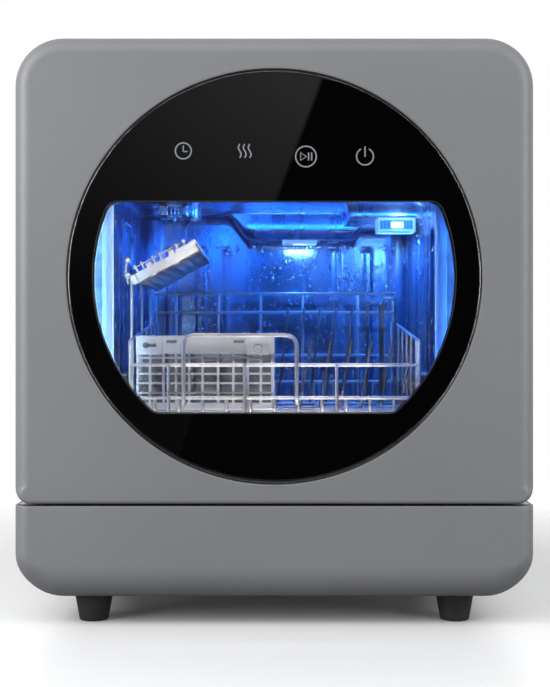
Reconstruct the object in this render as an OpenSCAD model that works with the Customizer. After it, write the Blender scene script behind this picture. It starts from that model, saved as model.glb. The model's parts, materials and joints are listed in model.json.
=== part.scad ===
// Countertop dishwasher: drop-down door with a round glass, sliding wire rack, built-in water tank.
// X runs to the right, Y to the back, Z up. The origin is on the table, under the middle of the body.

/* [Body] */
// Width of the body
body_w = 420; // [400:1:540]
// Depth of the body, door included
body_d = 430; // [420:1:540]
// Height of the body above its feet
body_h = 455; // [440:1:560]
// Height of the lower housing that holds the pumps
base_h = 77; // [70:1:110]
// Height of the feet
foot_h = 23; // [14:1:40]
// Corner radius of the front outline
corner_r = 39; // [20:1:60]
// Radius of the front edges
edge_r = 13; // [6:0.5:18]
// Wall of the painted housings
shell_t = 2.5; // [1.5:0.1:3.5]

/* [Door] */
// Thickness of the door
door_t = 40; // [34:1:50]
// Height of the dark seam between door and lower housing
seam_gap = 1.6; // [1:0.1:3]
// Radius of the round glass
glass_r = 166; // [150:1:170]
// Thickness of the round glass and of the door face
glass_t = 4; // [3:0.5:5]
// Joint round the glass
glass_gap = 1.2; // [0.6:0.1:2]
// Height of the glass centre above the seam
glass_up = 184.3; // [178:0.1:200]
// Width of the black print between the rim of the glass and the clear window
print_w = 20.6; // [16:0.1:30]
// Height of the window above the glass centre
window_rise = 59.8; // [40:0.1:70]
// Depth of the window below the glass centre
window_drop = 109; // [80:0.1:115]
// Radius of the hinge pins
pin_r = 2.5; // [2:0.1:3]

/* [Tub] */
// Space between the side of the body and the inside of the tub
side_space = 69; // [60:1:90]
// Space between the tub ceiling and the top of the body
top_space = 111; // [105:1:140]
// Space between the tub back and the back of the body
back_space = 65; // [62:1:90]
// Sheet of the tub
tub_t = 1.2; // [0.8:0.1:2]
// Lip round the mouth of the tub
lip_w = 6.5; // [4:0.5:10]

/* [Rack] */
// Thick wire of the rack
wire_d = 3.2; // [2.6:0.1:4]
// Thin wire of the tines
tine_d = 2.6; // [2:0.1:3]
// Free space between door and rack
rack_gap = 50.8; // [48:0.1:70]
// Depth of the rack
rack_depth = 247.2; // [220:0.1:250]
// Height of the rack floor above the tub floor
rack_up = 58; // [54:1:70]
// Length of the cup shelf, hinge to lip
shelf_w = 68; // [50:1:74]
// Tilt of the cup shelf
shelf_tilt = 28; // [0:1:30]

/* [Spray arm] */
// Radius that the spray arm sweeps
arm_r = 122; // [90:1:126]
// Radius of the spray arm shaft
shaft_r = 8; // [6:0.5:10]

/* [Water] */
// Height of the water tank
tank_h = 60; // [45:1:64]
// Length of the fill lid
lid_l = 90; // [70:1:110]
// Width of the fill lid
lid_w = 64; // [50:1:80]
// Radius of the water inlet spigot
inlet_r = 13.2; // [12:0.1:14]
// Radius of the drain spigot
drain_r = 9; // [8:0.1:10]

/* [Hidden] */
$fn = 64;

run_gap = 0.4;      // clearance between pieces that slide past each other
pin_gap = 0.05;     // radial running clearance of a pin in its bore
seat_gap = 0.3;     // clearance of a piece that rests in its seat

front_y = -body_d / 2;
back_y = body_d / 2;
seam_z = foot_h + base_h;
top_z = foot_h + body_h;
door_z = seam_z + seam_gap;
door_back = front_y + door_t;
glass_z = seam_z + glass_up;
face_y = front_y + glass_t;
window_r = glass_r - print_w;
hinge_r = 8;
hinge_y = front_y + hinge_r;
hinge_z = door_z + hinge_r;
hinge_x = body_w / 2 - 32;
arm_t = 7;
lug_t = 8;
heel_cut = 3;
mask_t = 0.5;
frame_ledge = 14;   // width of the seat that the frame gives the glass
liner_t = 2;
grip_w = 130;
grip_d = 16;

bezel_y = door_back + 1.4;
bezel_t = 2.6;
tub_y = bezel_y + bezel_t;
tub_back = back_y - back_space;
tub_x = body_w / 2 - side_space;
tub_z = seam_z + 10;
tub_top = top_z - top_space;
mouth_x = tub_x - lip_w;
mouth_z = tub_z + 10;
mouth_top = tub_top - 6;
seal_in = tub_x + 3;
seal_w = 7;
seal_t = 3.7;
flange_w = mouth_z - 7 - seam_z;
deck_t = 2;
bulk_y = tub_back - 65;
bulk_z = tub_top - 27;
step_x = 70;
step_y = tub_back - 165;
step_z = tub_top - 15;

rack_z = tub_z + rack_up;
rack_x = tub_x - 14;
wire_lift = wire_d * 0.8;
post_y = door_back + rack_gap + wire_d / 2;
rack_f = post_y + wire_lift;
tine_rail_f = rack_f + 42;
tine_rail_b = rack_f + 155;
rack_b = door_back + rack_gap + rack_depth;
front_rim = rack_z + 43.8;
front_low = rack_z + 15;
side_f = rack_z + 64.8;
side_b = rack_z + 85.7;
back_rim = rack_z + 115.8;
glide_z = rack_z + 26;
glide_h = 14;
handle_top = rack_z + 70;
rod_x = -(rack_x + 2.5);
rod_z = tub_top - 78;
rod_r = 1.5;
shelf_f = rack_f + 4;
shelf_b = rack_f + 190;

arm_y = -10;
arm_z = tub_z + 28;
sump_x = 70;
sump_y = 70;
sump_r = 42;
sump_h = 44;
pump_z = tub_z - 34;
hose_r = 6;
hose_x = sump_x + sump_r + 30;
hose_y = back_y - 45;
spigot_x = 120;
spigot_z = seam_z + 45;
root_t = 1.5;
pipe_z = deck_bottom() - 14;
pipe_r = 8;
rear_y = back_y - 16.5;
rear_t = 1.5;
panel_screw_x = body_w / 2 - 15;
panel_screw_z = [seam_z + 25, seam_z + 280];
panel_screw_r = 1.6;
tank_x = tub_x + 9;
tank_f = tub_y + 30;
tank_b = tub_back + 20;
lid_x = 90;
lid_y = 60;
lid_t = 3;
lid_gap = 1;
bezel_wall = 4;
neck_r = 21;
neck_t = 2;
foot_x = body_w / 2 - 59;
foot_y = body_d / 2 - 45;
lamp_l = 37;
lamp_h = 14;
fan_y = 30;
fan_z = seam_z + 160;
fan_x = tub_x + tub_t + 10;
lid_pin_r = 1.25;
lid_pin_y = lid_y + lid_w / 2 - 4;
lid_pin_z = top_z - 4;
basket_x0 = -rack_x + wire_d * 1.3 + 1;
basket_w = 122;
basket_d = 68;
basket_h = 65;
basket_t = 2;
basket_cells = 5;
basket_pitch = (basket_w - basket_t) / basket_cells;
basket_f = rack_f + wire_d / 2 + 1.4;
basket_z = rack_z + wire_d * 1.3 + run_gap;

function deck_bottom() = seam_z - deck_t;

// ---- drawing helpers ----

// extrudes a shape drawn in X and Z along Y
module slab_y(y0, y1) {
    translate([0, y1, 0]) rotate([90, 0, 0]) linear_extrude(height = y1 - y0) children();
}

// extrudes a shape drawn in Y and Z along X
module slab_x(x0, x1) {
    translate([x0, 0, 0]) rotate([90, 0, 90]) linear_extrude(height = x1 - x0) children();
}

module box(x0, x1, y0, y1, z0, z1) {
    translate([x0, y0, z0]) cube([x1 - x0, y1 - y0, z1 - z0]);
}

module both_sides() {
    children();
    mirror([1, 0, 0]) children();
}

// outline with two round upper corners
module arch(w, z0, z1, r) {
    translate([-w / 2, z0]) square([w, z1 - r - z0]);
    translate([-w / 2 + r, z1 - r]) square([w - 2 * r, r]);
    for (s = [-1, 1]) translate([s * (w / 2 - r), z1 - r]) circle(r);
}

// rectangle whose corner at (a0, b0) is round
module one_round(a0, a1, b0, b1, r) {
    if (a1 - a0 > r) translate([a0 + r, b0]) square([a1 - a0 - r, b1 - b0]);
    translate([a0, b0 + r]) square([r, b1 - b0 - r]);
    intersection() {
        translate([a0 + r, b0 + r]) circle(r);
        translate([a0, b0]) square([r, r]);
    }
}

// rectangle with two round corners at its low Y side
module front_round(w, y0, y1, r) {
    translate([-w / 2, y0 + r]) square([w, y1 - y0 - r]);
    translate([-w / 2 + r, y0]) square([w - 2 * r, r]);
    for (s = [-1, 1]) translate([s * (w / 2 - r), y0 + r]) circle(r);
}

module corner_sector(rc, re) {
    rotate([90, 0, 0]) rotate_extrude(angle = 90) {
        square([rc - re, re]);
        intersection() {
            translate([rc - re, 0]) circle(re);
            translate([rc - re, 0]) square([re, re]);
        }
    }
}

// block with round front edges and two round upper corners
module soft_block(w, y0, y1, z0, z1, rc, re, rb) {
    intersection() {
        translate([0, 0, z0]) linear_extrude(height = z1 - rc - z0) front_round(w, y0, y1, re);
        slab_x(-w / 2, w / 2) one_round(y0, y1, z0, z1 - rc, rb);
    }
    slab_y(y0 + re, y1) intersection() {
        arch(w, z1 - 2 * rc, z1, rc);
        translate([-w / 2, z1 - rc]) square([w, rc]);
    }
    mirror([0, 0, 1]) slab_x(-w / 2 + rc, w / 2 - rc) one_round(y0, y0 + re, -z1, rc - z1, re);
    both_sides() translate([w / 2 - rc, y0 + re, z1 - rc]) corner_sector(rc, re);
}

module rod(a, b, d) {
    v = b - a;
    len = norm(v);
    translate(a) rotate([0, acos(v[2] / len), atan2(v[1], v[0])]) cylinder(d = d, h = len);
}

module rod_x(x0, x1, y, z, d) { rod([x0, y, z], [x1, y, z], d); }
module rod_y(y0, y1, x, z, d) { rod([x, y0, z], [x, y1, z], d); }
module rod_z(z0, z1, x, y, d) { rod([x, y, z0], [x, y, z1], d); }

module disc_y(r, y0, y1, x, z) {
    translate([x, y1, z]) rotate([90, 0, 0]) cylinder(r = r, h = y1 - y0);
}

module disc_x(r, x0, x1, y, z) {
    translate([x0, y, z]) rotate([0, 90, 0]) cylinder(r = r, h = x1 - x0);
}

module window_shape(grow) {
    intersection() {
        translate([0, glass_z]) circle(window_r + grow, $fn = 128);
        translate([-window_r - grow, glass_z - window_drop - grow])
            square([2 * (window_r + grow), window_rise + window_drop + 2 * grow]);
    }
}

// rectangular ring in X and Z
module frame_2d(x, z0, z1, w) {
    difference() {
        translate([-x - w, z0 - w]) square([2 * (x + w), z1 - z0 + 2 * w]);
        translate([-x, z0]) square([2 * x, z1 - z0]);
    }
}

// ---- housings ----

module cabinet_shell() {
    color([0.52, 0.53, 0.55]) difference() {
        slab_y(bezel_y, back_y) difference() {
            arch(body_w, door_z, top_z, corner_r);
            arch(body_w - 2 * shell_t, door_z - 1, top_z - shell_t, corner_r - shell_t);
        }
        lid_hole(lid_l + 2 * (lid_gap + bezel_wall), lid_w + 2 * (lid_gap + bezel_wall));
    }
}

module lid_hole(l, w) {
    box(lid_x - l / 2, lid_x + l / 2, lid_y - w / 2, lid_y + w / 2, top_z - 20, top_z + 1);
}

module front_bezel() {
    color([0.2, 0.2, 0.21]) difference() {
        slab_y(bezel_y, bezel_y + bezel_t) difference() {
            arch(body_w - 2 * shell_t, door_z, top_z - shell_t, corner_r - shell_t);
            translate([-seal_in - seal_w, door_z - 1])
                square([2 * (seal_in + seal_w), mouth_top + seal_w + lip_w + 3 - door_z + 1]);
            translate([-17, top_z - 31]) square([34, 16]);
        }
        both_sides() box(hinge_x - arm_t, hinge_x + arm_t, bezel_y - 1, tub_y + 1, seam_z, hinge_z + 6);
    }
}

module rear_panel() {
    color([0.35, 0.36, 0.37]) slab_y(rear_y, rear_y + rear_t) difference() {
        arch(body_w - 2 * shell_t, seam_z, top_z - shell_t, corner_r - shell_t);
        for (i = [0 : 11], k = [0 : 1])
            translate([-140 + 150 * k, top_z - 80 - 13 * i]) square([120, 5]);
        translate([-spigot_x, spigot_z]) circle(inlet_r + root_t);
        translate([spigot_x, spigot_z]) circle(drain_r + root_t);
        translate([-24, spigot_z - 13]) square([48, 26]);
        for (x = [-1, 1], z = panel_screw_z) translate([x * panel_screw_x, z]) circle(panel_screw_r);
    }
}

module base_plinth() {
    z1 = foot_h + shell_t;
    color([0.5, 0.51, 0.53]) difference() {
        mirror([0, 0, 1])
            soft_block(body_w, front_y, back_y, -seam_z, -foot_h, corner_r - 2, edge_r, 1);
        mirror([0, 0, 1]) slab_y(front_y + edge_r, back_y - shell_t)
            arch(body_w - 2 * shell_t, -seam_z - 1, -z1, corner_r - 2 - shell_t);
        mirror([0, 0, 1]) slab_y(face_y, front_y + edge_r)
            arch(body_w - 2 * edge_r, -seam_z - 1, -foot_h - edge_r, corner_r - 2 - edge_r);
        for (x = [-1, 1], y = [-1, 1])
            translate([x * foot_x, y * foot_y, foot_h - 1]) cylinder(r = 2, h = 9);
    }
}

module base_deck() {
    color([0.68, 0.69, 0.7]) difference() {
        box(-body_w / 2 + shell_t, body_w / 2 - shell_t, front_y + edge_r, back_y - shell_t,
            deck_bottom(), seam_z);
        translate([sump_x, sump_y, deck_bottom() - 1]) cylinder(r = sump_r + 3, h = deck_t + 2);
        translate([0, arm_y, deck_bottom() - 1]) cylinder(r = pipe_r, h = deck_t + 2);
        translate([hose_x, hose_y, deck_bottom() - 1]) cylinder(r = hose_r, h = deck_t + 2);
        for (x = [-170, 150]) box(x, x + 20, -60, 60, deck_bottom() - 1, seam_z + 1);
    }
}

module base_tray() {
    z0 = foot_h + shell_t;
    color([0.68, 0.69, 0.7]) difference() {
        box(-165, 165, -165, 185, z0, z0 + 8);
        box(-163.5, 163.5, -163.5, 183.5, z0 + 1.5, z0 + 9);
        for (x = [-1, 1], y = [-1, 1])
            translate([x * foot_x, y * foot_y, z0 - 1]) cylinder(r = 6, h = 4);
    }
}

module feet() {
    color([0.06, 0.06, 0.06]) for (x = [-1, 1], y = [-1, 1]) translate([x * foot_x, y * foot_y, 0])
        difference() {
            rotate_extrude() polygon([[0, 0], [10.5, 0], [12, 1.5], [15.8, foot_h], [0, foot_h]]);
            translate([0, 0, -1]) cylinder(r = 5.5, h = foot_h - 7);
            translate([0, 0, -1]) cylinder(r = 2.2, h = foot_h + 2);
        }
}

module screws() {
    head_z = foot_h - 8;
    color([0.7, 0.7, 0.72]) {
        for (x = [-1, 1], y = [-1, 1]) translate([x * foot_x, y * foot_y, head_z - 3]) {
            cylinder(r = 4.5, h = 3);
            cylinder(r = 2, h = 3 + 8 + shell_t + 3);
        }
        for (x = [-1, 1], z = panel_screw_z) {
            disc_y(panel_screw_r, rear_y - 6, rear_y + rear_t, x * panel_screw_x, z);
            disc_y(panel_screw_r + 1.8, rear_y + rear_t, rear_y + rear_t + 2, x * panel_screw_x, z);
        }
    }
}

// ---- tub and what is fixed to it ----

module tub() {
    color([0.72, 0.74, 0.76]) difference() {
        union() {
            box(-tub_x - tub_t, tub_x + tub_t, tub_y, tub_back + tub_t, tub_z - tub_t, tub_top + tub_t);
            slab_y(tub_y, tub_y + tub_t)
                frame_2d(tub_x, mouth_z - 7, mouth_top + 5, flange_w);
        }
        difference() {
            box(-tub_x, tub_x, tub_y + tub_t, tub_back, tub_z, tub_top);
            slab_x(-50, 92) polygon([
                [bulk_y, tub_top + 1], [bulk_y, bulk_z + 7], [bulk_y + 8, bulk_z],
                [tub_back + 1, bulk_z], [tub_back + 1, tub_top + 1]
            ]);
            box(step_x, tub_x + 1, step_y, tub_back + 1, step_z, tub_top + 1);
        }
        box(-mouth_x, mouth_x, tub_y - 1, tub_y + tub_t + 1, mouth_z, mouth_top);
        translate([sump_x, sump_y, tub_z - 5]) cylinder(r = sump_r - 2, h = 10);
        translate([0, arm_y, tub_z - 5]) cylinder(r = shaft_r, h = 10);
    }
}

module tub_pads() {
    color([0.1, 0.1, 0.1]) for (x = [-1, 1], y = [tub_y + 40, tub_back - 30])
        translate([x * (tub_x - 20), y, seam_z]) cylinder(r = 10, h = tub_z - tub_t - seam_z);
}

module door_seal() {
    color([0.12, 0.12, 0.12]) slab_y(tub_y - seal_t, tub_y)
        frame_2d(seal_in - 0.5, mouth_z - 9.5, mouth_top + 7, seal_w);
}

module rack_rails() {
    z0 = glide_z - glide_h / 2 - run_gap;
    z1 = glide_z + glide_h / 2 + run_gap;
    color([0.6, 0.6, 0.62]) both_sides() difference() {
        box(tub_x - 9.5, tub_x, tub_y + 5, tub_back - 5, z0 - 1.6, z1 + 1.6);
        box(tub_x - 10, tub_x - 1.8, tub_y + 4, tub_back - 7, z0, z1);
    }
}

module hinge_brackets() {
    color([0.6, 0.6, 0.62]) both_sides() difference() {
        union() {
            disc_x(5, hinge_x - arm_t / 2, hinge_x + arm_t / 2, hinge_y, hinge_z);
            box(hinge_x - arm_t / 2, hinge_x + arm_t / 2, hinge_y, tub_y + 22, hinge_z - 4, hinge_z + 4);
            box(hinge_x - arm_t / 2, hinge_x + arm_t / 2, tub_y - 1, tub_y + 22, seam_z, hinge_z + 4);
        }
        disc_x(pin_r, hinge_x - arm_t, hinge_x + arm_t, hinge_y, hinge_z);
    }
}

// pins of the door hinges and of the fill lid
module pins() {
    half = arm_t / 2 + seat_gap + lug_t;
    lid_half = lid_l / 2 + lid_gap + bezel_wall;
    color([0.75, 0.75, 0.77]) {
        both_sides() disc_x(pin_r, hinge_x - half, hinge_x + half, hinge_y, hinge_z);
        disc_x(lid_pin_r, lid_x - lid_half, lid_x + lid_half, lid_pin_y, lid_pin_z);
    }
}

module latch_catch() {
    color([0.15, 0.15, 0.16]) difference() {
        box(-22, 22, tub_y, tub_y + 24, top_z - 36, top_z - shell_t - 4);
        box(-16, 16, tub_y - 1, tub_y + 21, top_z - 30, top_z - 16);
    }
    color([0.15, 0.15, 0.16]) box(-10, 10, tub_y, tub_y + 24, top_z - shell_t - 4, top_z - shell_t);
}

module lamp_housings() {
    color([0.2, 0.2, 0.22]) {
        difference() {
            box(tub_x - 5 - lamp_l, tub_x - 5, step_y, step_y + 30, step_z - lamp_h, step_z);
            box(tub_x - 2 - lamp_l, tub_x - 8, step_y - 1, step_y + 27, step_z - lamp_h - 1, step_z - 3);
        }
        difference() {
            box(8, 8 + lamp_l, bulk_y + 20, bulk_y + 45, bulk_z - 4, bulk_z);
            box(11, 5 + lamp_l, bulk_y + 23, bulk_y + 42, bulk_z - 5, bulk_z - 1.5);
        }
    }
}

module lamp_lenses() {
    color([0.85, 0.93, 1]) {
        box(tub_x - 2 - lamp_l, tub_x - 8, step_y + 1, step_y + 27, step_z - lamp_h + 2, step_z - 3);
        box(11, 5 + lamp_l, bulk_y + 23, bulk_y + 42, bulk_z - 3.5, bulk_z - 1.5);
    }
}

module ceiling_sprayer() {
    x0 = -tub_x + 28;
    color([0.6, 0.62, 0.65]) {
        difference() {
            box(x0, x0 + 30, 0, 30, tub_top - 14, tub_top);
            box(x0 + 8, x0 + 22, -1, 12, tub_top - 10, tub_top - 4);
        }
        translate([x0 + 35, 15, tub_top - 17]) cylinder(r = 6, h = 17);
    }
}

module sump() {
    color([0.25, 0.26, 0.28]) difference() {
        sump_body(sump_r);
        translate([0, 0, 2.5]) sump_body(sump_r - 2.5);
    }
}

module coarse_filter() {
    color([0.55, 0.57, 0.6]) translate([sump_x, sump_y, tub_z - 36]) {
        difference() {
            cylinder(r = 26, h = 42);
            translate([0, 0, 2]) cylinder(r = 24, h = 42);
            for (a = [0 : 45 : 315]) rotate(a) translate([20, -4, 6]) cube([10, 8, 24]);
        }
        difference() {
            translate([-25, -2, 40]) cube([50, 4, 8]);
            translate([-8, -3, 42]) cube([16, 6, 4]);
        }
    }
}

module fine_filter() {
    color([0.7, 0.72, 0.74]) translate([sump_x, sump_y, tub_z]) difference() {
        cylinder(r = sump_r + 6, h = 1.5);
        translate([0, 0, -1]) cylinder(r = 26 + seat_gap, h = 4);
        for (a = [0 : 30 : 330]) rotate(a) translate([33, 0, -1]) cylinder(r = 3, h = 4);
    }
}

module spray_shaft() {
    color([0.4, 0.41, 0.43]) translate([0, arm_y, 0]) difference() {
        union() {
            translate([0, 0, seam_z]) cylinder(r = shaft_r, h = arm_z + 16 - seam_z);
            translate([0, 0, tub_z]) cylinder(r = shaft_r + 8, h = arm_z - run_gap - tub_z);
            translate([0, 0, arm_z + 12 + run_gap]) cylinder(r = shaft_r + 4, h = 4);
        }
        translate([0, 0, seam_z - 1]) cylinder(r = shaft_r - 2.5, h = arm_z + 6 - seam_z);
    }
}

module spray_arm() {
    color([0.45, 0.47, 0.5]) translate([0, arm_y, arm_z]) difference() {
        union() {
            cylinder(r = 20, h = 12);
            translate([0, 0, 2]) linear_extrude(height = 8) {
                polygon([[0, -15], [arm_r - 10, -9], [arm_r - 10, 9], [0, 15],
                         [10 - arm_r, 9], [10 - arm_r, -9]]);
                for (s = [-1, 1]) translate([s * (arm_r - 10), 0]) circle(9);
            }
        }
        translate([0, 0, -1]) cylinder(r = shaft_r + pin_gap, h = 14);
        for (x = [32 : 20 : arm_r - 12], s = [-1, 1]) translate([s * x, 3, 5]) cylinder(r = 1.5, h = 6);
    }
}

// ---- water circuit in the base ----

module sump_body(r) {
    translate([sump_x, sump_y, tub_z - tub_t - sump_h]) cylinder(r = r, h = sump_h);
}

module circulation_pump() {
    x1 = sump_x - sump_r;
    color([0.2, 0.2, 0.22]) {
        difference() {
            disc_x(10, x1 - 6, x1 + 5, sump_y, pump_z);
            sump_body(sump_r);
        }
        pump_volute();
        disc_x(16, x1 - 86, x1 - 30, sump_y, pump_z);
        box(x1 - 80, x1 - 40, sump_y - 12, sump_y + 12, foot_h + shell_t + 1.5, pump_z - 12);
    }
}

module pump_volute() {
    x1 = sump_x - sump_r;
    disc_x(20, x1 - 40, x1 - 6, sump_y, pump_z);
}

module supply_pipe() {
    color([0.15, 0.15, 0.16]) {
        difference() {
            disc_y(pipe_r, arm_y, sump_y - 5, 0, pipe_z);
            pump_volute();
        }
        translate([0, arm_y, pipe_z]) cylinder(r = pipe_r, h = seam_z - pipe_z);
        translate([0, arm_y, pipe_z]) sphere(r = pipe_r);
    }
}

module flow_heater() {
    color([0.75, 0.55, 0.35]) difference() {
        disc_y(13, 8, 42, 0, pipe_z);
        disc_y(pipe_r, 7, 43, 0, pipe_z);
    }
}

module drain_pump() {
    x0 = sump_x + sump_r;
    color([0.25, 0.25, 0.28]) {
        difference() {
            disc_x(8, x0 - 5, x0 + 10, sump_y, pump_z);
            sump_body(sump_r);
        }
        drain_motor();
        box(x0 + 14, x0 + 36, sump_y - 10, sump_y + 10, foot_h + shell_t + 1.5, pump_z - 12);
    }
}

module drain_motor() {
    x0 = sump_x + sump_r;
    disc_x(17, x0 + 10, x0 + 40, sump_y, pump_z);
}

module drain_hose() {
    color([0.3, 0.3, 0.32]) {
        difference() {
            disc_y(hose_r, sump_y + 5, hose_y, hose_x, pump_z);
            drain_motor();
        }
        translate([hose_x, hose_y, pump_z]) sphere(r = hose_r);
        translate([hose_x, hose_y, pump_z]) cylinder(r = hose_r, h = spigot_z - 13 - pump_z);
    }
}

module inlet_spigot() {
    color([0.92, 0.92, 0.92]) difference() {
        union() {
            disc_y(inlet_r, rear_y + rear_t - 1, back_y - 1, -spigot_x, spigot_z);
            disc_y(inlet_r + root_t, rear_y - 24, rear_y + rear_t, -spigot_x, spigot_z);
            disc_y(inlet_r + 5, rear_y - 4, rear_y, -spigot_x, spigot_z);
            box(-spigot_x - 18, -spigot_x + 18, rear_y - 44, rear_y - 24, spigot_z - 18, spigot_z + 18);
        }
        disc_y(inlet_r - 4, rear_y - 10, back_y, -spigot_x, spigot_z);
    }
}

module drain_spigot() {
    color([0.2, 0.2, 0.2]) difference() {
        union() {
            disc_y(drain_r, rear_y + rear_t - 1, back_y - 1, spigot_x, spigot_z);
            disc_y(drain_r + root_t, rear_y - 20, rear_y + rear_t, spigot_x, spigot_z);
            disc_y(drain_r + 5, rear_y - 4, rear_y, spigot_x, spigot_z);
            box(spigot_x - 14, hose_x + hose_r + 2, rear_y - 38, rear_y - 20, spigot_z - 13, spigot_z + 13);
        }
        disc_y(drain_r - 2.5, rear_y - 10, back_y, spigot_x, spigot_z);
    }
}

module power_socket() {
    z = spigot_z;
    color([0.05, 0.05, 0.05]) difference() {
        union() {
            box(-24, 24, rear_y - 22, rear_y + rear_t, z - 13, z + 13);
            box(-30, 30, rear_y + rear_t, rear_y + rear_t + 2.5, z - 17, z + 17);
        }
        box(-13.5, 13.5, rear_y - 16, rear_y + rear_t + 3, z - 10, z + 10);
    }
}

// ---- air and control ----

module blower_housing() {
    color([0.22, 0.22, 0.24]) difference() {
        union() {
            disc_x(42, fan_x, fan_x + 40, fan_y, fan_z);
            disc_x(14, tub_x + tub_t, fan_x, fan_y, fan_z);
        }
        disc_x(39, fan_x + 3, fan_x + 41, fan_y, fan_z);
        disc_x(11, tub_x + tub_t - 1, fan_x + 1, fan_y, fan_z);
        disc_x(9, fan_x - 1, fan_x + 4, fan_y + 22, fan_z);
    }
    color([0.22, 0.22, 0.24]) disc_x(4, fan_x, fan_x + 38, fan_y, fan_z);
}

module fan_rotor() {
    color([0.5, 0.52, 0.55]) difference() {
        union() {
            disc_x(9, fan_x + 6, fan_x + 34, fan_y, fan_z);
            disc_x(34, fan_x + 6, fan_x + 8, fan_y, fan_z);
            for (a = [0 : 30 : 330]) translate([fan_x + 8, fan_y, fan_z]) rotate([a, 0, 0])
                translate([0, 20, -1]) cube([22, 13, 2]);
        }
        disc_x(4 + pin_gap, fan_x, fan_x + 40, fan_y, fan_z);
    }
}

module control_box() {
    x1 = -tub_x - tub_t;
    color([0.86, 0.86, 0.84]) difference() {
        box(x1 - 40, x1, 0, 120, seam_z + 120, seam_z + 220);
        box(x1 - 38, x1 - 2, 2, 118, seam_z + 122, seam_z + 221);
    }
}

module control_board() {
    x1 = -tub_x - tub_t - 2;
    color([0.1, 0.4, 0.2]) {
        box(x1 - 5.6, x1 - 4, 4, 116, seam_z + 126, seam_z + 216);
        for (y = [10, 100], z = [130, 205]) box(x1 - 4, x1, y, y + 6, seam_z + z, seam_z + z + 6);
        box(x1 - 27, x1 - 5.6, 20, 50, seam_z + 150, seam_z + 180);
        box(x1 - 20, x1 - 5.6, 65, 95, seam_z + 180, seam_z + 200);
        disc_x(7, x1 - 24, x1 - 5.6, 80, seam_z + 150);
    }
}

// ---- tank and its fill lid ----

module water_tank() {
    z0 = tub_top + tub_t;
    color([0.85, 0.9, 0.93]) difference() {
        box(-tank_x, tank_x, tank_f, tank_b, z0, z0 + tank_h);
        box(-tank_x + 2, tank_x - 2, tank_f + 2, tank_b - 2, z0 + 2, z0 + tank_h - 2);
        translate([lid_x, lid_y, z0 + 10]) cylinder(r = neck_r - neck_t, h = tank_h);
    }
}

module fill_neck() {
    z0 = tub_top + tub_t + tank_h;
    color([0.3, 0.31, 0.32]) translate([lid_x, lid_y, z0]) difference() {
        cylinder(r = neck_r, h = top_z - 14 - z0);
        translate([0, 0, -1]) cylinder(r = neck_r - neck_t, h = top_z - 12 - z0);
    }
}

module fill_bezel() {
    l = lid_l / 2 + lid_gap;
    w = lid_w / 2 + lid_gap;
    color([0.16, 0.16, 0.17]) difference() {
        box(lid_x - l - bezel_wall, lid_x + l + bezel_wall, lid_y - w - bezel_wall, lid_y + w + bezel_wall,
            top_z - 14, top_z);
        box(lid_x - l, lid_x + l, lid_y - w, lid_y + w, top_z - 11, top_z + 1);
        translate([lid_x, lid_y, top_z - 15]) cylinder(r = neck_r - neck_t, h = 6);
        disc_x(lid_pin_r, lid_x - l - bezel_wall, lid_x + l + bezel_wall, lid_pin_y, lid_pin_z);
    }
}

module fill_lid() {
    color([0.24, 0.24, 0.25]) difference() {
        union() {
            box(lid_x - lid_l / 2, lid_x + lid_l / 2, lid_y - lid_w / 2, lid_pin_y, top_z - lid_t, top_z);
            for (s = [-1, 1]) translate([s * (lid_l / 2 - 10), 0, 0])
                disc_x(3.5, lid_x - 8, lid_x + 8, lid_pin_y, lid_pin_z);
            disc_x(4, lid_x - lid_l / 2, lid_x + lid_l / 2, lid_pin_y, lid_pin_z);
        }
        disc_x(lid_pin_r + pin_gap, lid_x - lid_l, lid_x + lid_l, lid_pin_y, lid_pin_z);
        translate([lid_x, lid_y - lid_w / 2, top_z - 10]) cylinder(r = 9, h = 12);
    }
}

// ---- door ----

module hinge_notch(y0, grow) {
    both_sides() box(hinge_x - arm_t / 2 - grow, hinge_x + arm_t / 2 + grow, y0, door_back + 1,
        door_z - 1, hinge_z + 8);
}

module heel() {
    box(-body_w / 2 - 1, body_w / 2 + 1, door_back - heel_cut, door_back + 1, door_z - 1, hinge_z - 4);
}

module door_panel() {
    color([0.52, 0.53, 0.55]) difference() {
        soft_block(body_w, front_y, door_back, door_z, top_z, corner_r, edge_r, hinge_r);
        slab_y(front_y + edge_r, door_back + 1)
            arch(body_w - 2 * shell_t, door_z + shell_t, top_z - shell_t, corner_r - shell_t);
        slab_y(face_y, front_y + edge_r)
            arch(body_w - 2 * edge_r, door_z + shell_t, top_z - edge_r, corner_r - edge_r);
        disc_y(glass_r + glass_gap, front_y - 1, face_y + 1, 0, glass_z);
        heel();
        hinge_notch(face_y - 1.5, 0.8);
        box(-grip_w / 2, grip_w / 2, door_back - grip_d, door_back - liner_t,
            top_z - shell_t - 1, top_z + 1);
    }
}

// finger recess in the top edge of the door
module door_grip() {
    color([0.1, 0.1, 0.11]) difference() {
        box(-grip_w / 2, grip_w / 2, door_back - grip_d, door_back - liner_t, top_z - 14, top_z);
        box(-grip_w / 2 + 1.5, grip_w / 2 - 1.5, door_back - grip_d + 1.5, door_back - liner_t - 1.5,
            top_z - 12.5, top_z + 1);
    }
}

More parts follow.
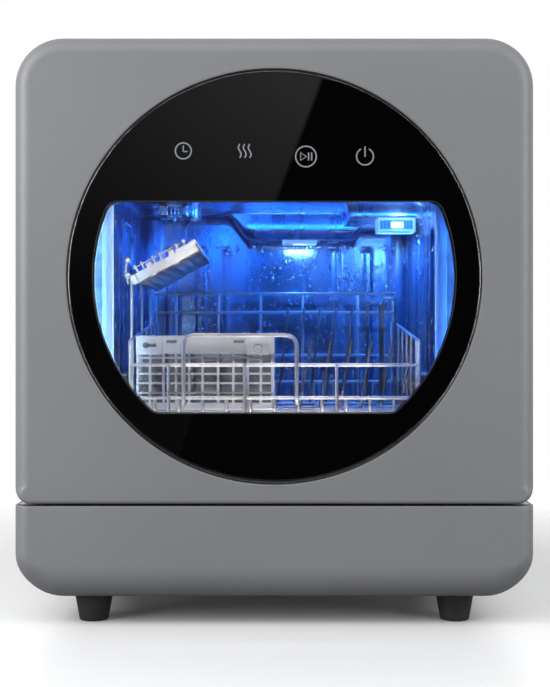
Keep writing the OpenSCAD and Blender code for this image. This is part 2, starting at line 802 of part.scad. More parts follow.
module door_frame() {
    y1 = face_y + 4;
    lug = arm_t / 2 + seat_gap;
    color([0.3, 0.31, 0.32]) difference() {
        union() {
            slab_y(face_y, y1)
                arch(body_w - 2 * edge_r - 2 * seat_gap, door_z + shell_t + seat_gap,
                     top_z - edge_r - seat_gap, corner_r - edge_r);
            both_sides() for (x = [hinge_x - lug - lug_t, hinge_x + lug])
                box(x, x + lug_t, face_y, hinge_y + 6, door_z + shell_t + seat_gap, hinge_z + 8);
        }
        disc_y(glass_r + seat_gap, face_y - 1, face_y + mask_t, 0, glass_z);
        disc_y(glass_r - frame_ledge, face_y - 1, y1 + 1, 0, glass_z);
        both_sides() disc_x(pin_r + pin_gap, hinge_x - 20, hinge_x + 20, hinge_y, hinge_z);
        both_sides() box(hinge_x - lug, hinge_x + lug, face_y - 1, y1 + 10, door_z, hinge_z + 8);
    }
}

module glass_disc() {
    color([0.03, 0.03, 0.04, 0.6]) disc_y(glass_r, front_y, face_y, 0, glass_z, $fn = 128);
}

module mask_ring() {
    color([0.02, 0.02, 0.02]) slab_y(face_y, face_y + mask_t) difference() {
        translate([0, glass_z]) circle(glass_r, $fn = 128);
        window_shape(0);
    }
}

module touch_board() {
    y0 = face_y + mask_t;
    top = 100;
    half = sqrt(pow(glass_r - frame_ledge - 7, 2) - top * top);
    color([0.1, 0.4, 0.2]) {
        box(-half, half, y0, y0 + 1.6, glass_z + 68, glass_z + top);
        for (x = [30 - half, -24, 26, half - 30])
            box(x - 6, x + 6, y0 + 1.6, y0 + 4, glass_z + 78, glass_z + 90);
        box(-20, 20, y0 + 1.6, y0 + 6, glass_z + 70, glass_z + 76);
    }
}

module door_liner() {
    y0 = door_back - liner_t;
    color([0.62, 0.64, 0.66]) difference() {
        union() {
            slab_y(y0, door_back)
                arch(body_w - 2 * shell_t - 2 * seat_gap, door_z + shell_t, top_z - shell_t - 1 - seat_gap,
                     corner_r - shell_t);
            slab_y(door_back - 16, y0) difference() {
                window_shape(8);
                window_shape(5);
            }
            for (x = [-1, 1], z = [glass_z - 160, glass_z + 160])
                disc_y(5, face_y + 4, y0, x * 150, z);
        }
        slab_y(y0 - 1, door_back + 1) window_shape(0);
        heel();
        hinge_notch(y0 - 1, 0.8);
        box(-13, 13, y0 - 1, door_back + 1, top_z - 25, top_z - 20);
    }
}

module inner_pane() {
    y1 = door_back - liner_t - 2;
    color([0.7, 0.8, 0.85, 0.3]) slab_y(y1 - 4, y1) window_shape(5 - seat_gap);
}

module pane_gasket() {
    y1 = door_back - liner_t;
    color([0.1, 0.1, 0.1]) slab_y(y1 - 2, y1) difference() {
        window_shape(5 - seat_gap);
        window_shape(1);
    }
}

module latch_tongue() {
    color([0.75, 0.75, 0.77]) {
        box(-13, 13, door_back - liner_t - 2, tub_y + 11, top_z - 25, top_z - 22);
        box(-13, 13, door_back - liner_t - 4, door_back - liner_t - 2, top_z - 31, top_z - 16);
        box(-13, 13, door_back - liner_t - 2, door_back - liner_t, top_z - 31, top_z - 25);
    }
}

// ---- rack ----

// flat grid of the rack, with the two rails that carry the tines
module rack_floor() {
    w = wire_d;
    color([0.62, 0.6, 0.58]) {
        for (x = [-105 : 21 : 105]) rod_y(post_y, rack_b - w, x, rack_z, w);
        for (y = [rack_f + 6, rack_f + 82, rack_f + 160]) rod_x(-rack_x, rack_x, y, rack_z + wire_lift, w);
        for (y = [tine_rail_f, tine_rail_b]) rod_x(-rack_x, rack_x, y, rack_z + wire_lift, tine_d);
        both_sides() rod_y(rack_f, rack_b - w, rack_x, rack_z, w);
    }
}

module rack_front() {
    w = wire_d;
    color([0.62, 0.6, 0.58]) {
        for (z = [front_rim, front_low]) rod_x(-rack_x - w / 2, rack_x + w / 2, rack_f, z, w);
        for (x = [-92.8, -26, 54.5]) rod_z(rack_z, front_rim + w / 2, x, post_y, w);
    }
}

module rack_back() {
    w = wire_d;
    color([0.62, 0.6, 0.58]) {
        for (z = [rack_z + wire_lift, rack_z + 22, rack_z + 50, back_rim - 20, back_rim])
            rod_x(-rack_x - w / 2, rack_x + w / 2, rack_b - w, z, w);
        for (x = [-60, 30, 89]) rod_z(rack_z, back_rim, x, rack_b - w + wire_lift, w);
    }
}

// both side grids, with the posts of the cup shelf on the left one
module rack_sides() {
    w = wire_d;
    color([0.62, 0.6, 0.58]) {
        both_sides() {
            rod_y(rack_f, rack_b - w, rack_x, glide_z, w);
            rod([rack_x, rack_f, side_f], [rack_x, rack_b - w, side_b], w);
            for (i = [0 : 6]) {
                y = rack_f + wire_lift + i * (rack_b - rack_f - w - 2 * wire_lift) / 6;
                top = i == 6 ? back_rim : side_f + (side_b - side_f) * i / 6;
                rod_z(rack_z, top, rack_x - wire_lift, y, w);
            }
        }
        for (y = [shelf_f + 12, shelf_f + 94, shelf_b - 12]) rod_z(rack_z, rod_z, -rack_x, y, w);
    }
}

// two rows of leaning tines, and two upright hairpins in the back row
module rack_tines() {
    w = tine_d;
    row_f = tine_rail_f + w * 0.8;
    row_b = tine_rail_b + w * 0.8;
    color([0.55, 0.53, 0.5]) {
        for (i = [0 : 5]) {
            x = 22 + 18.5 * i;
            rod([x, row_f, rack_z], [x + 11.5, row_f, rack_z + 65], w);
        }
        for (i = [0 : 4]) {
            x = 3 + 16 * i;
            rod([x, row_b, rack_z], [x + 11, row_b, rack_z + 98], w);
        }
        for (k = [[93, 106, 104], [108.6, 121.2, 108]]) {
            for (x = [k[0], k[1]]) rod_z(rack_z, rack_z + k[2], x, row_b, w);
            rod_x(k[0], k[1], row_b + w * 0.6, rack_z + k[2] - w / 2, w);
        }
    }
}

module rack_handle() {
    w = wire_d + 0.6;
    color([0.7, 0.68, 0.66]) {
        for (x = [-79.5, 19.6]) rod_z(rack_z + 8, handle_top, x, post_y, w);
        rod_x(-79.5 - w / 2, 19.6 + w / 2, post_y + 0.5, handle_top, w);
    }
}

module rack_glides() {
    color([0.85, 0.85, 0.86]) both_sides() for (y = [rack_f + 130, rack_b - 31])
        box(rack_x + 0.8, tub_x - 1.8 - run_gap, y, y + 24, glide_z - glide_h / 2, glide_z + glide_h / 2);
}

module shelf_rod() {
    color([0.7, 0.7, 0.7]) {
        rod_y(shelf_f, shelf_b, rod_x, rod_z, 2 * rod_r);
        rod_z(rod_z - 4, rod_z + 18, rod_x, shelf_f + 1, 2.4);
        for (z = [rod_z + 1, rod_z + 15]) translate([rod_x - 0.4, shelf_f - 0.6, z]) sphere(r = 2.8);
    }
}

module cup_shelf() {
    deep = 8.5;
    clip_l = 30;
    y0 = shelf_f + 5;
    y1 = shelf_b - 2;
    color([0.62, 0.6, 0.58]) translate([rod_x, 0, rod_z]) rotate([0, -shelf_tilt, 0]) difference() {
        union() {
            difference() {
                box(5.5, shelf_w, y0, y1, -deep, 0);
                box(8, shelf_w - 2.5, y0 + 2.5, y1 - 2.5, -deep + 2.5, 1);
            }
            for (y = [shelf_f + 22, shelf_f + 52, shelf_b - 52])
                translate([0, y, 0]) rotate([-90, 0, 0]) cylinder(r = 3.4, h = clip_l);
            for (y = [shelf_f + 22, shelf_f + 52, shelf_b - 52]) box(0, 6, y, y + clip_l, -3.4, 0);
            for (i = [1 : 7]) box(7, shelf_w - 1, y0 + i * 22, y0 + i * 22 + 2, -deep, -1);
        }
        for (y = [shelf_f + 22, shelf_f + 52, shelf_b - 52])
            translate([0, y - 1, 0]) rotate([-90, 0, 0]) cylinder(r = rod_r + pin_gap, h = clip_l + 2);
        for (i = [0 : 7], k = [0 : 3])
            box(13 + k * 13, 22 + k * 13, y0 + 5 + i * 22, y0 + 19 + i * 22, -deep - 1, -deep + 3);
    }
}

// floor plate and four upright panels that clip on to it
module basket_walls() {
    t = basket_t;
    low = t + seat_gap;
    color([0.66, 0.66, 0.67]) translate([basket_x0, basket_f, basket_z]) {
        difference() {
            cube([basket_w, basket_d, t]);
            for (i = [0 : basket_cells - 1], k = [0, 1])
                translate([i * basket_pitch + t + 3, 5 + k * 33, -1])
                    cube([basket_pitch - t - 6, 24, t + 2]);
        }
        for (y = [0, basket_d - t]) translate([0, y, 0]) difference() {
            translate([0, 0, low]) cube([basket_w, t, basket_h - low]);
            for (i = [0 : basket_cells - 1], z = [9, 21, 33])
                translate([i * basket_pitch + t + 2, -1, z]) cube([basket_pitch - t - 4, t + 2, 9]);
        }
        for (x = [0, basket_w - t]) translate([x, low, low]) cube([t, basket_d - 2 * low, basket_h - low]);
    }
}

// one long plate and the cross plates that slide in beside it
module basket_dividers() {
    t = basket_t;
    low = t + seat_gap;
    mid = basket_d / 2;
    high = basket_h - 12;
    color([0.6, 0.6, 0.61]) translate([basket_x0, basket_f, basket_z]) {
        box(low, basket_w - low, mid - t / 2, mid + t / 2, low, high);
        for (i = [1 : basket_cells - 1]) {
            box(i * basket_pitch, i * basket_pitch + t, low, mid - t / 2 - seat_gap, low, high);
            box(i * basket_pitch, i * basket_pitch + t, mid + t / 2 + seat_gap, basket_d - low, low, high);
        }
    }
}

cabinet_shell();
rear_panel();
front_bezel();
base_plinth();
base_deck();
base_tray();
feet();
screws();
tub();
tub_pads();
door_seal();
rack_rails();
hinge_brackets();
pins();
latch_catch();
lamp_housings();
lamp_lenses();
ceiling_sprayer();
sump();
coarse_filter();
fine_filter();
spray_shaft();
spray_arm();
circulation_pump();
supply_pipe();
flow_heater();
drain_pump();
drain_hose();
blower_housing();
fan_rotor();
control_box();
control_board();
water_tank();
fill_bezel();
fill_neck();
fill_lid();
inlet_spigot();
drain_spigot();
power_socket();
door_panel();
door_frame();
glass_disc();
mask_ring();
touch_board();
inner_pane();
pane_gasket();
door_liner();
latch_tongue();
door_grip();
rack_floor();
rack_front();
rack_back();
rack_sides();
rack_tines();
rack_handle();
rack_glides();
shelf_rod();
cup_shelf();
basket_walls();
basket_dividers();
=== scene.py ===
"""Finished surfaces of a countertop dishwasher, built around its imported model."""

import json
import math
import random

import bmesh
import bpy
from mathutils import Matrix, Vector


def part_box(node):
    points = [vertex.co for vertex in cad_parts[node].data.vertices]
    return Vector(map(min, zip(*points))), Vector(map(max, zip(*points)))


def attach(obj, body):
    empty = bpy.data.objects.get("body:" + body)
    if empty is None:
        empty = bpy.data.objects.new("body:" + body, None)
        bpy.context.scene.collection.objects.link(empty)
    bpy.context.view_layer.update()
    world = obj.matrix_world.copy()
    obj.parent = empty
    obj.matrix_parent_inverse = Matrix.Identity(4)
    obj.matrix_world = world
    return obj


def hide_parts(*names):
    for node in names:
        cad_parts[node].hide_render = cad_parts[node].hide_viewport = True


bl_info = {
    "name": "Countertop Dishwasher",
    "version": (1, 0, 0),
    "blender": (4, 5, 0),
    "location": "View3D > Sidebar > Dishwasher",
    "description": "Builds the finished surfaces of a countertop dishwasher around its packed model",
    "category": "Add Mesh",
}

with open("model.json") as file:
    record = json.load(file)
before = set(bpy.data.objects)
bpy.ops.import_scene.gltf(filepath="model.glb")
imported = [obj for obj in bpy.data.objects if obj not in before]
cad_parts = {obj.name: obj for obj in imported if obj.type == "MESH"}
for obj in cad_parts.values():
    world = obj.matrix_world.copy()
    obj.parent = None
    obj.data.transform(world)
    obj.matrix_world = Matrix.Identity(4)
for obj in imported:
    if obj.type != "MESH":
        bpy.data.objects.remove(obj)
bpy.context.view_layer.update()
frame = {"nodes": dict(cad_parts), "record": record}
MM = 0.001
NODE_SLOT = {part["node"]: part["material_slot"] for part in frame["record"]["subparts"]}


def box_mm(node):
    """Lowest and highest X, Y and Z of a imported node, in millimetres."""
    low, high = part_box(node)
    return [value / MM for value in (*low, *high)]


DOOR = box_mm("door_panel")
BASE = box_mm("base_plinth")
SHELL = box_mm("cabinet_shell")
GLASS = box_mm("glass_disc")
GLASS_R = (GLASS[3] - GLASS[0]) / 2
GLASS_Z = (GLASS[2] + GLASS[5]) / 2


# ---- sizes and colours a user may change ----


class DishwasherPaintSettings(bpy.types.PropertyGroup):
    """Colour and roughness of the painted outside"""

    body_color: bpy.props.FloatVectorProperty(
        name="Body paint", description="Colour of the metallic grey paint", subtype="COLOR", size=3,
        min=0, max=1, default=(0.176, 0.179, 0.186))
    paint_roughness: bpy.props.FloatProperty(
        name="Paint roughness", description="How satin the paint is", subtype="FACTOR",
        min=0.1, max=0.9, default=0.46)


class DishwasherStageSettings(bpy.types.PropertyGroup):
    """Camera, lamps and backdrop"""

    camera_distance: bpy.props.FloatProperty(
        name="Camera distance", description="From the camera to the front face", unit="LENGTH",
        min=0.5, default=1.0)
    camera_height: bpy.props.FloatProperty(
        name="Camera height", description="Height of the level camera above the table", unit="LENGTH",
        min=0, default=230.6 * MM)
    picture_height: bpy.props.FloatProperty(
        name="Picture height", description="Height of the view at the front face", unit="LENGTH",
        min=0.1, default=551.0 * MM)
    softbox_power: bpy.props.FloatProperty(
        name="Softbox power", description="Power of the large studio lamps in watts",
        min=0, default=16)
    fill_strength: bpy.props.FloatProperty(
        name="Fill strength", description="Strength of the even light from all round",
        min=0, default=0.5)
    tub_lamp_power: bpy.props.FloatProperty(
        name="Tub lamp power", description="Power of each blue lamp in the tub in watts",
        min=0, default=2.2)


# ---- mesh helpers, all in millimetres ----

SMOOTH_ANGLE = 35
DOME = ((0.86, 0.3), (0.5, 0.5))  # rings that round off a bar, as shares of its radius: width, reach


def link_object(name, data):
    """A new object in the scene."""
    piece = bpy.data.objects.new(name, data)
    bpy.context.scene.collection.objects.link(piece)
    return piece


def mesh_object(name, bm, outward=True):
    """Turns a bmesh drawn in millimetres into an object."""
    if outward:
        bmesh.ops.recalc_face_normals(bm, faces=bm.faces)
    mesh = bpy.data.meshes.new(name)
    bm.to_mesh(mesh)
    bm.free()
    mesh.transform(Matrix.Scale(MM, 4))
    return link_object(name, mesh)


def shade(piece, angle):
    piece.data.shade_smooth()
    piece.data.set_sharp_from_angle(angle=math.radians(angle))


def add_piece(name, bm, body, slot, nodes=(), angle=SMOOTH_ANGLE, outward=True, material=None):
    """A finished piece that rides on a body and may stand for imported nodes."""
    piece = mesh_object(name, bm, outward)
    shade(piece, angle)
    piece.data.materials.append(get_material(material or slot))
    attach(piece, body)
    if nodes:
        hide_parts(*nodes)
    return piece


def apply_modifiers(piece):
    """Replaces the mesh of a piece by what its modifiers make of it."""
    bpy.context.view_layer.update()
    evaluated = piece.evaluated_get(bpy.context.evaluated_depsgraph_get())
    mesh = bpy.data.meshes.new_from_object(evaluated)
    piece.modifiers.clear()
    piece.data = mesh
    shade(piece, SMOOTH_ANGLE)


def thicken(piece, thickness):
    modifier = piece.modifiers.new("sheet", "SOLIDIFY")
    modifier.thickness = thickness * MM
    modifier.use_even_offset = True
    apply_modifiers(piece)


def round_edges(piece, width, segments, angle):
    modifier = piece.modifiers.new("edges", "BEVEL")
    modifier.width = width * MM
    modifier.segments = segments
    modifier.limit_method = "ANGLE"
    modifier.angle_limit = math.radians(angle)
    apply_modifiers(piece)


def cut(piece, bm):
    """Takes the solids of a bmesh out of a piece."""
    cutter = mesh_object("cutter", bm)
    modifier = piece.modifiers.new("cut", "BOOLEAN")
    modifier.operation = "DIFFERENCE"
    modifier.solver = "EXACT"
    modifier.object = cutter
    apply_modifiers(piece)
    mesh = cutter.data
    bpy.data.objects.remove(cutter)
    bpy.data.meshes.remove(mesh)


def cut_box(piece, x0, x1, y0, y1, z0, z1):
    """Takes one block out of a piece."""
    bm = bmesh.new()
    cutter_box(bm, x0, x1, y0, y1, z0, z1)
    cut(piece, bm)


def place(axis, a, b, along):
    """A point given across and along an axis."""
    return Vector({"X": (along, a, b), "Y": (a, along, b), "Z": (a, b, along)}[axis])


def arc(cx, cz, radius, start, end, steps):
    """Points of an arc with their outward normals; angles in degrees."""
    points = []
    for step in range(steps + 1):
        angle = math.radians(start + (end - start) * step / steps)
        normal = Vector((math.cos(angle), math.sin(angle)))
        points.append((Vector((cx, cz)) + normal * radius, normal))
    return points


def rounded_rect(x0, z0, x1, z1, radii, steps=12, side=1):
    """Closed outline with normals; radii run from the lower left corner to the right and up."""
    outline = []
    corners = ((x0, z0, 180), (x1, z0, 270), (x1, z1, 0), (x0, z1, 90))
    for (x, z, start), radius in zip(corners, radii):
        cx = x + radius if x == x0 else x - radius
        cz = z + radius if z == z0 else z - radius
        outline += arc(cx, cz, radius, start, start + 90, steps)
    dense = []
    for i, (point, normal) in enumerate(outline):
        after = outline[(i + 1) % len(outline)][0]
        count = side if i % (steps + 1) == steps else 1
        dense += [(point.lerp(after, step / count), normal) for step in range(count)]
    return dense


def bridge(bm, rings, closed=True, wrap=False):
    """Quads between rings of as many points; returns the rings as vertices."""
    loops = [[bm.verts.new(point) for point in ring] for ring in rings]
    pairs = list(zip(loops, loops[1:]))
    if wrap:
        pairs.append((loops[-1], loops[0]))
    for low, high in pairs:
        count = len(low)
        for i in range(count if closed else count - 1):
            j = (i + 1) % count
            bm.faces.new((low[i], low[j], high[j], high[i]))
    return loops


def loft(bm, rings):
    """Quads between rings, closed at both ends."""
    loops = bridge(bm, rings)
    bm.faces.new(loops[0][::-1])
    bm.faces.new(loops[-1])


def lathe(bm, profile, center, axis="Z", steps=48, wrap=False):
    """Turns a profile of (radius, height) pairs; its open ends are capped unless it wraps."""
    turns = [math.tau * step / steps for step in range(steps)]
    rings = [
        [Vector(center) + place(axis, radius * math.cos(turn), radius * math.sin(turn), height)
         for turn in turns]
        for radius, height in profile
    ]
    loops = bridge(bm, rings, wrap=wrap)
    if not wrap:
        bm.faces.new(loops[0])
        bm.faces.new(loops[-1])


def soft_box(bm, low, high, radius=0.6, segments=2):
    """A block with round edges."""
    verts = bmesh.ops.create_cube(bm, size=1)["verts"]
    for vert in verts:
        vert.co = [low[i] + (high[i] - low[i]) * (vert.co[i] + 0.5) for i in range(3)]
    edges = dict.fromkeys(edge for vert in verts for edge in vert.link_edges)
    bmesh.ops.bevel(
        bm, geom=[*verts, *edges], offset=radius, segments=segments, profile=0.5, affect="EDGES")


def cutter_box(bm, x0, x1, y0, y1, z0, z1):
    """A sharp block to cut with."""
    verts = bmesh.ops.create_cube(bm, size=1)["verts"]
    for vert in verts:
        spans = ((x0, x1), (y0, y1), (z0, z1))
        vert.co = [low + (high - low) * (vert.co[i] + 0.5) for i, (low, high) in enumerate(spans)]


def bend(points, radius, steps=5):
    """A path through points in space with its corners bent to a radius."""
    points = [Vector(point) for point in points]
    path = [points[0]]
    for before, corner, after in zip(points, points[1:], points[2:]):
        back, ahead = before - corner, after - corner
        reach = radius / math.tan(back.angle(ahead) / 2)
        reach = min(reach, 0.49 * back.length, 0.49 * ahead.length)
        start = corner + back.normalized() * reach
        end = corner + ahead.normalized() * reach
        for step in range(steps + 1):
            t = step / steps
            path.append(start * (1 - t) ** 2 + corner * 2 * t * (1 - t) + end * t * t)
    path.append(points[-1])
    return path


def tube(bm, path, radius, sides=10):
    """A round bar along a path, with domed ends."""
    path = [Vector(point) for point in path]
    normal = None
    rings = []
    ends = []
    for before, point, after in zip([path[0], *path], path, [*path[1:], path[-1]]):
        ahead = (after - before).normalized()
        if normal is None:
            normal = ahead.orthogonal()
        normal = (normal - ahead * normal.dot(ahead)).normalized()
        across = ahead.cross(normal)
        ends.append((point, ahead, normal, across))
        rings.append((point, normal, across, radius))
    for where, sign in ((0, -1), (-1, 1)):
        point, ahead, normal, across = ends[where]
        for share, reach in DOME:
            ring = (point + ahead * sign * reach * radius, normal, across, radius * share)
            rings.insert(0 if sign < 0 else len(rings), ring)
    turns = [math.tau * side / sides for side in range(sides)]
    loops = bridge(bm, [
        [point + (normal * math.cos(turn) + across * math.sin(turn)) * size for turn in turns]
        for point, normal, across, size in rings
    ])
    bm.faces.new(loops[0])
    bm.faces.new(loops[-1])


def stroke(bm, points, width, y, closed=False):
    """A flat line of even width, drawn in X and Z."""
    points = [Vector(point) for point in points]
    count = len(points)
    pairs = []
    for i, point in enumerate(points):
        before = points[i - 1] if i or closed else point
        after = points[(i + 1) % count] if i < count - 1 or closed else point
        ahead = (after - before).normalized()
        side = Vector((-ahead.y, ahead.x)) * width / 2
        pairs.append([bm.verts.new((p.x, y, p.y)) for p in (point + side, point - side)])
    for i in range(count if closed else count - 1):
        (a, b), (c, d) = pairs[i], pairs[(i + 1) % count]
        bm.faces.new((a, b, d, c))


def ramp(value, table):
    """Reads a table of (place, share) pairs, straight between its entries."""
    if value <= table[0][0]:
        return table[0][1]
    for (x0, f0), (x1, f1) in zip(table, table[1:]):
        if value <= x1:
            return f0 + (f1 - f0) * (value - x0) / (x1 - x0)
    return table[-1][1]


def ease(low, high, value):
    """Rises smoothly from 0 at low to 1 at high."""
    share = min(1.0, max(0.0, (value - low) / (high - low)))
    return share * share * (3 - 2 * share)


# ---- material helpers ----


def set_inputs(node, values):
    for name, value in values.items():
        node.inputs[name].default_value = value


def empty_material(name):
    """A material with nothing but its output; returns the material, its tree and the output."""
    material = bpy.data.materials.new(name)
    material.use_nodes = True
    tree = material.node_tree
    tree.nodes.clear()
    return material, tree, tree.nodes.new("ShaderNodeOutputMaterial")


def start_material(name):
    """A material with one Principled shader; returns the material, its tree and the shader."""
    material, tree, output = empty_material(name)
    shader = tree.nodes.new("ShaderNodeBsdfPrincipled")
    tree.links.new(shader.outputs["BSDF"], output.inputs["Surface"])
    return material, tree, shader


def place_coords(tree, stretch=(1, 1, 1)):
    """Position on the piece, in metres, stretched along its axes."""
    coords = tree.nodes.new("ShaderNodeTexCoord")
    mapping = tree.nodes.new("ShaderNodeMapping")
    set_inputs(mapping, {"Scale": stretch})
    tree.links.new(coords.outputs["Object"], mapping.inputs["Vector"])
    return mapping.outputs["Vector"]


def noise(tree, scale, detail=3.0, stretch=(1, 1, 1), roughness=0.5):
    node = tree.nodes.new("ShaderNodeTexNoise")
    set_inputs(node, {"Scale": scale, "Detail": detail, "Roughness": roughness})
    tree.links.new(place_coords(tree, stretch), node.inputs["Vector"])
    return node.outputs["Fac"]


def remap(tree, value, low, high, from_low=0.3, from_high=0.7):
    node = tree.nodes.new("ShaderNodeMapRange")
    set_inputs(node, {"From Min": from_low, "From Max": from_high, "To Min": low, "To Max": high})
    tree.links.new(value, node.inputs["Value"])
    return node.outputs["Result"]


def mix_colors(tree, factor, first, second):
    node = tree.nodes.new("ShaderNodeMix")
    node.data_type = "RGBA"
    for socket, value in ((node.inputs["A"], first), (node.inputs["B"], second)):
        if isinstance(value, bpy.types.NodeSocket):
            tree.links.new(value, socket)
        else:
            socket.default_value = (*value[:3], 1)
    tree.links.new(factor, node.inputs["Factor"])
    return node.outputs["Result"]


def math_node(tree, operation, first, second):
    node = tree.nodes.new("ShaderNodeMath")
    node.operation = operation
    for socket, value in zip(node.inputs, (first, second)):
        if isinstance(value, bpy.types.NodeSocket):
            tree.links.new(value, socket)
        else:
            socket.default_value = value
    return node.outputs["Value"]


def base_between(tree, shader, factor, first, second):
    """Lets the base colour wander between two colours."""
    tree.links.new(mix_colors(tree, factor, first, second), shader.inputs["Base Color"])


def surface_between(tree, factor, first, second, output):
    """Shows the first of two shaders where the factor is 0 and the second where it is 1."""
    mixer = tree.nodes.new("ShaderNodeMixShader")
    for source, socket in zip((factor, first, second), mixer.inputs):
        tree.links.new(source, socket)
    tree.links.new(mixer.outputs["Shader"], output.inputs["Surface"])


def add_bump(tree, shader, height, strength, distance):
    node = tree.nodes.new("ShaderNodeBump")
    set_inputs(node, {"Strength": strength, "Distance": distance})
    tree.links.new(height, node.inputs["Height"])
    previous = shader.inputs["Normal"].links
    if previous:
        tree.links.new(previous[0].from_socket, node.inputs["Normal"])
    tree.links.new(node.outputs["Normal"], shader.inputs["Normal"])


def scaled(color, factor):
    return tuple(min(1.0, channel * factor) for channel in color)


def plastic(name, color, roughness=0.45, grain=2200):
    """Moulded plastic: fine spark-eroded grain and a slight cloudiness."""
    material, tree, shader = start_material(name)
    clouds = remap(tree, noise(tree, 45, 4), 0, 1)
    base_between(tree, shader, clouds, scaled(color, 0.88), scaled(color, 1.12))
    wear = remap(tree, noise(tree, 160, 3), roughness - 0.06, roughness + 0.08)
    tree.links.new(wear, shader.inputs["Roughness"])
    set_inputs(shader, {"Specular IOR Level": 0.45})
    add_bump(tree, shader, noise(tree, grain, 2), 0.35, 0.03 * MM)
    return material


def metal(name, color, roughness=0.3, streak=(1, 1, 60), streak_scale=55, metallic=1.0, depth=0.02):
    """Rolled or brushed metal: streaks in its roughness and surface, their depth in millimetres."""
    material, tree, shader = start_material(name)
    streaks = noise(tree, streak_scale, 5, streak, 0.65)
    drift = remap(tree, noise(tree, 18, 3), 0, 1)
    base_between(tree, shader, drift, scaled(color, 0.9), scaled(color, 1.06))
    tree.links.new(remap(tree, streaks, roughness - 0.07, roughness + 0.1), shader.inputs["Roughness"])
    set_inputs(shader, {"Metallic": metallic})
    add_bump(tree, shader, streaks, 0.4, depth * MM)
    return material


def perforated(name, color):
    """Thin steel sheet with a field of small holes, painted near black as the shade seen through them."""
    material, tree, shader = start_material(name)
    cells = tree.nodes.new("ShaderNodeTexVoronoi")
    set_inputs(cells, {"Scale": 420, "Randomness": 0.0})
    tree.links.new(place_coords(tree), cells.inputs["Vector"])
    sheet = remap(tree, cells.outputs["Distance"], 0, 1, 0.28, 0.34)
    # the near black of the holes is painted shade
    base_between(tree, shader, sheet, (0.01, 0.01, 0.012), color)
    tree.links.new(sheet, shader.inputs["Metallic"])
    set_inputs(shader, {"Roughness": 0.35})
    add_bump(tree, shader, sheet, 0.5, 0.3 * MM)
    return material


def body_paint(name, color, roughness):
    """Metallic grey stoving paint: fine flake and orange peel."""
    material, tree, shader = start_material(name)
    drift = remap(tree, noise(tree, 9, 3), 0, 1)
    tone = mix_colors(tree, drift, scaled(color, 0.97), scaled(color, 1.03))
    flake = remap(tree, noise(tree, 2600, 1), 0, 0.16, 0.35, 0.75)
    base_between(tree, shader, flake, tone, scaled(color, 1.5))
    wear = remap(tree, noise(tree, 380, 3), roughness - 0.04, roughness + 0.05)
    tree.links.new(wear, shader.inputs["Roughness"])
    set_inputs(shader, {"Metallic": 0.12, "Specular IOR Level": 0.28})
    add_bump(tree, shader, noise(tree, 700, 2), 0.3, 0.025 * MM)
    return material


def rubber(name, color):
    """Moulded rubber: dull, with a dusty bloom."""
    material, tree, shader = start_material(name)
    bloom = noise(tree, 90, 5)
    base_between(tree, shader, remap(tree, bloom, 0, 1), color, scaled(color, 2.1))
    tree.links.new(remap(tree, bloom, 0.6, 0.8), shader.inputs["Roughness"])
    set_inputs(shader, {"Specular IOR Level": 0.35})
    add_bump(tree, shader, noise(tree, 1500, 2), 0.3, 0.04 * MM)
    return material


def clear_glass(name, tint, ior=1.5):
    """Clear glass that lets lamps shine through."""
    material, tree, output = empty_material(name)
    shader = tree.nodes.new("ShaderNodeBsdfPrincipled")
    set_inputs(shader, {"Transmission Weight": 1.0, "IOR": ior, "Roughness": 0.0})
    smears = remap(tree, noise(tree, 14, 4), 0, 1)
    base_between(tree, shader, smears, scaled(tint, 0.98), tint)
    clear = tree.nodes.new("ShaderNodeBsdfTransparent")
    set_inputs(clear, {"Color": (*tint, 1)})
    path = tree.nodes.new("ShaderNodeLightPath").outputs
    lamp_ray = math_node(tree, "MAXIMUM", path["Is Shadow Ray"], path["Is Diffuse Ray"])
    surface_between(tree, lamp_ray, shader.outputs["BSDF"], clear.outputs["BSDF"], output)
    return material


def black_print(name):
    """Black ceramic print behind the glass, with no gloss of its own."""
    material, tree, shader = start_material(name)
    drift = remap(tree, noise(tree, 30, 3), 0, 1)
    base_between(tree, shader, drift, (0.0004, 0.0004, 0.0005), (0.0009, 0.0009, 0.001))
    set_inputs(shader, {"Roughness": 0.9, "IOR": 1.0, "Specular IOR Level": 0.0})
    return material


def lit_material(name, color, strength, grain, low, roughness):
    """A matt surface that glows in its own colour, a little darker in places."""
    material, tree, shader = start_material(name)
    spread = remap(tree, noise(tree, grain, 2), 0, 1)
    base_between(tree, shader, spread, scaled(color, low), color)
    set_inputs(shader, {
        "Emission Color": (*color, 1), "Emission Strength": strength, "Roughness": roughness})
    return material


def print_ink(name, color, glow):
    """Light ink printed behind the glass, with the faint glow of a lit sign."""
    return lit_material(name, color, glow, 400, 0.92, 0.5)


def circuit_board(name):
    """Green solder mask with copper tracks under it."""
    material, tree, shader = start_material(name)
    tracks = remap(tree, noise(tree, 260, 0, (1, 1, 4)), 0, 1, 0.47, 0.53)
    base_between(tree, shader, tracks, (0.008, 0.09, 0.03), (0.02, 0.2, 0.07))
    set_inputs(shader, {"Roughness": 0.35})
    add_bump(tree, shader, tracks, 0.5, 0.04 * MM)
    return material


def lamp_lens(name, color, strength):
    """Frosted lens lit from behind."""
    return lit_material(name, color, strength, 60, 0.85, 0.35)


def get_material(name):
    """The material of that name, made the first time it is asked for."""
    title = "finish_" + name
    if title in bpy.data.materials:
        return bpy.data.materials[title]
    maker, values = FINISHES[name]
    if name == "grey_paint":
        paint = bpy.context.scene.dishwasher_paint
        values = (paint.body_color, paint.paint_roughness)
    return maker(title, *values)


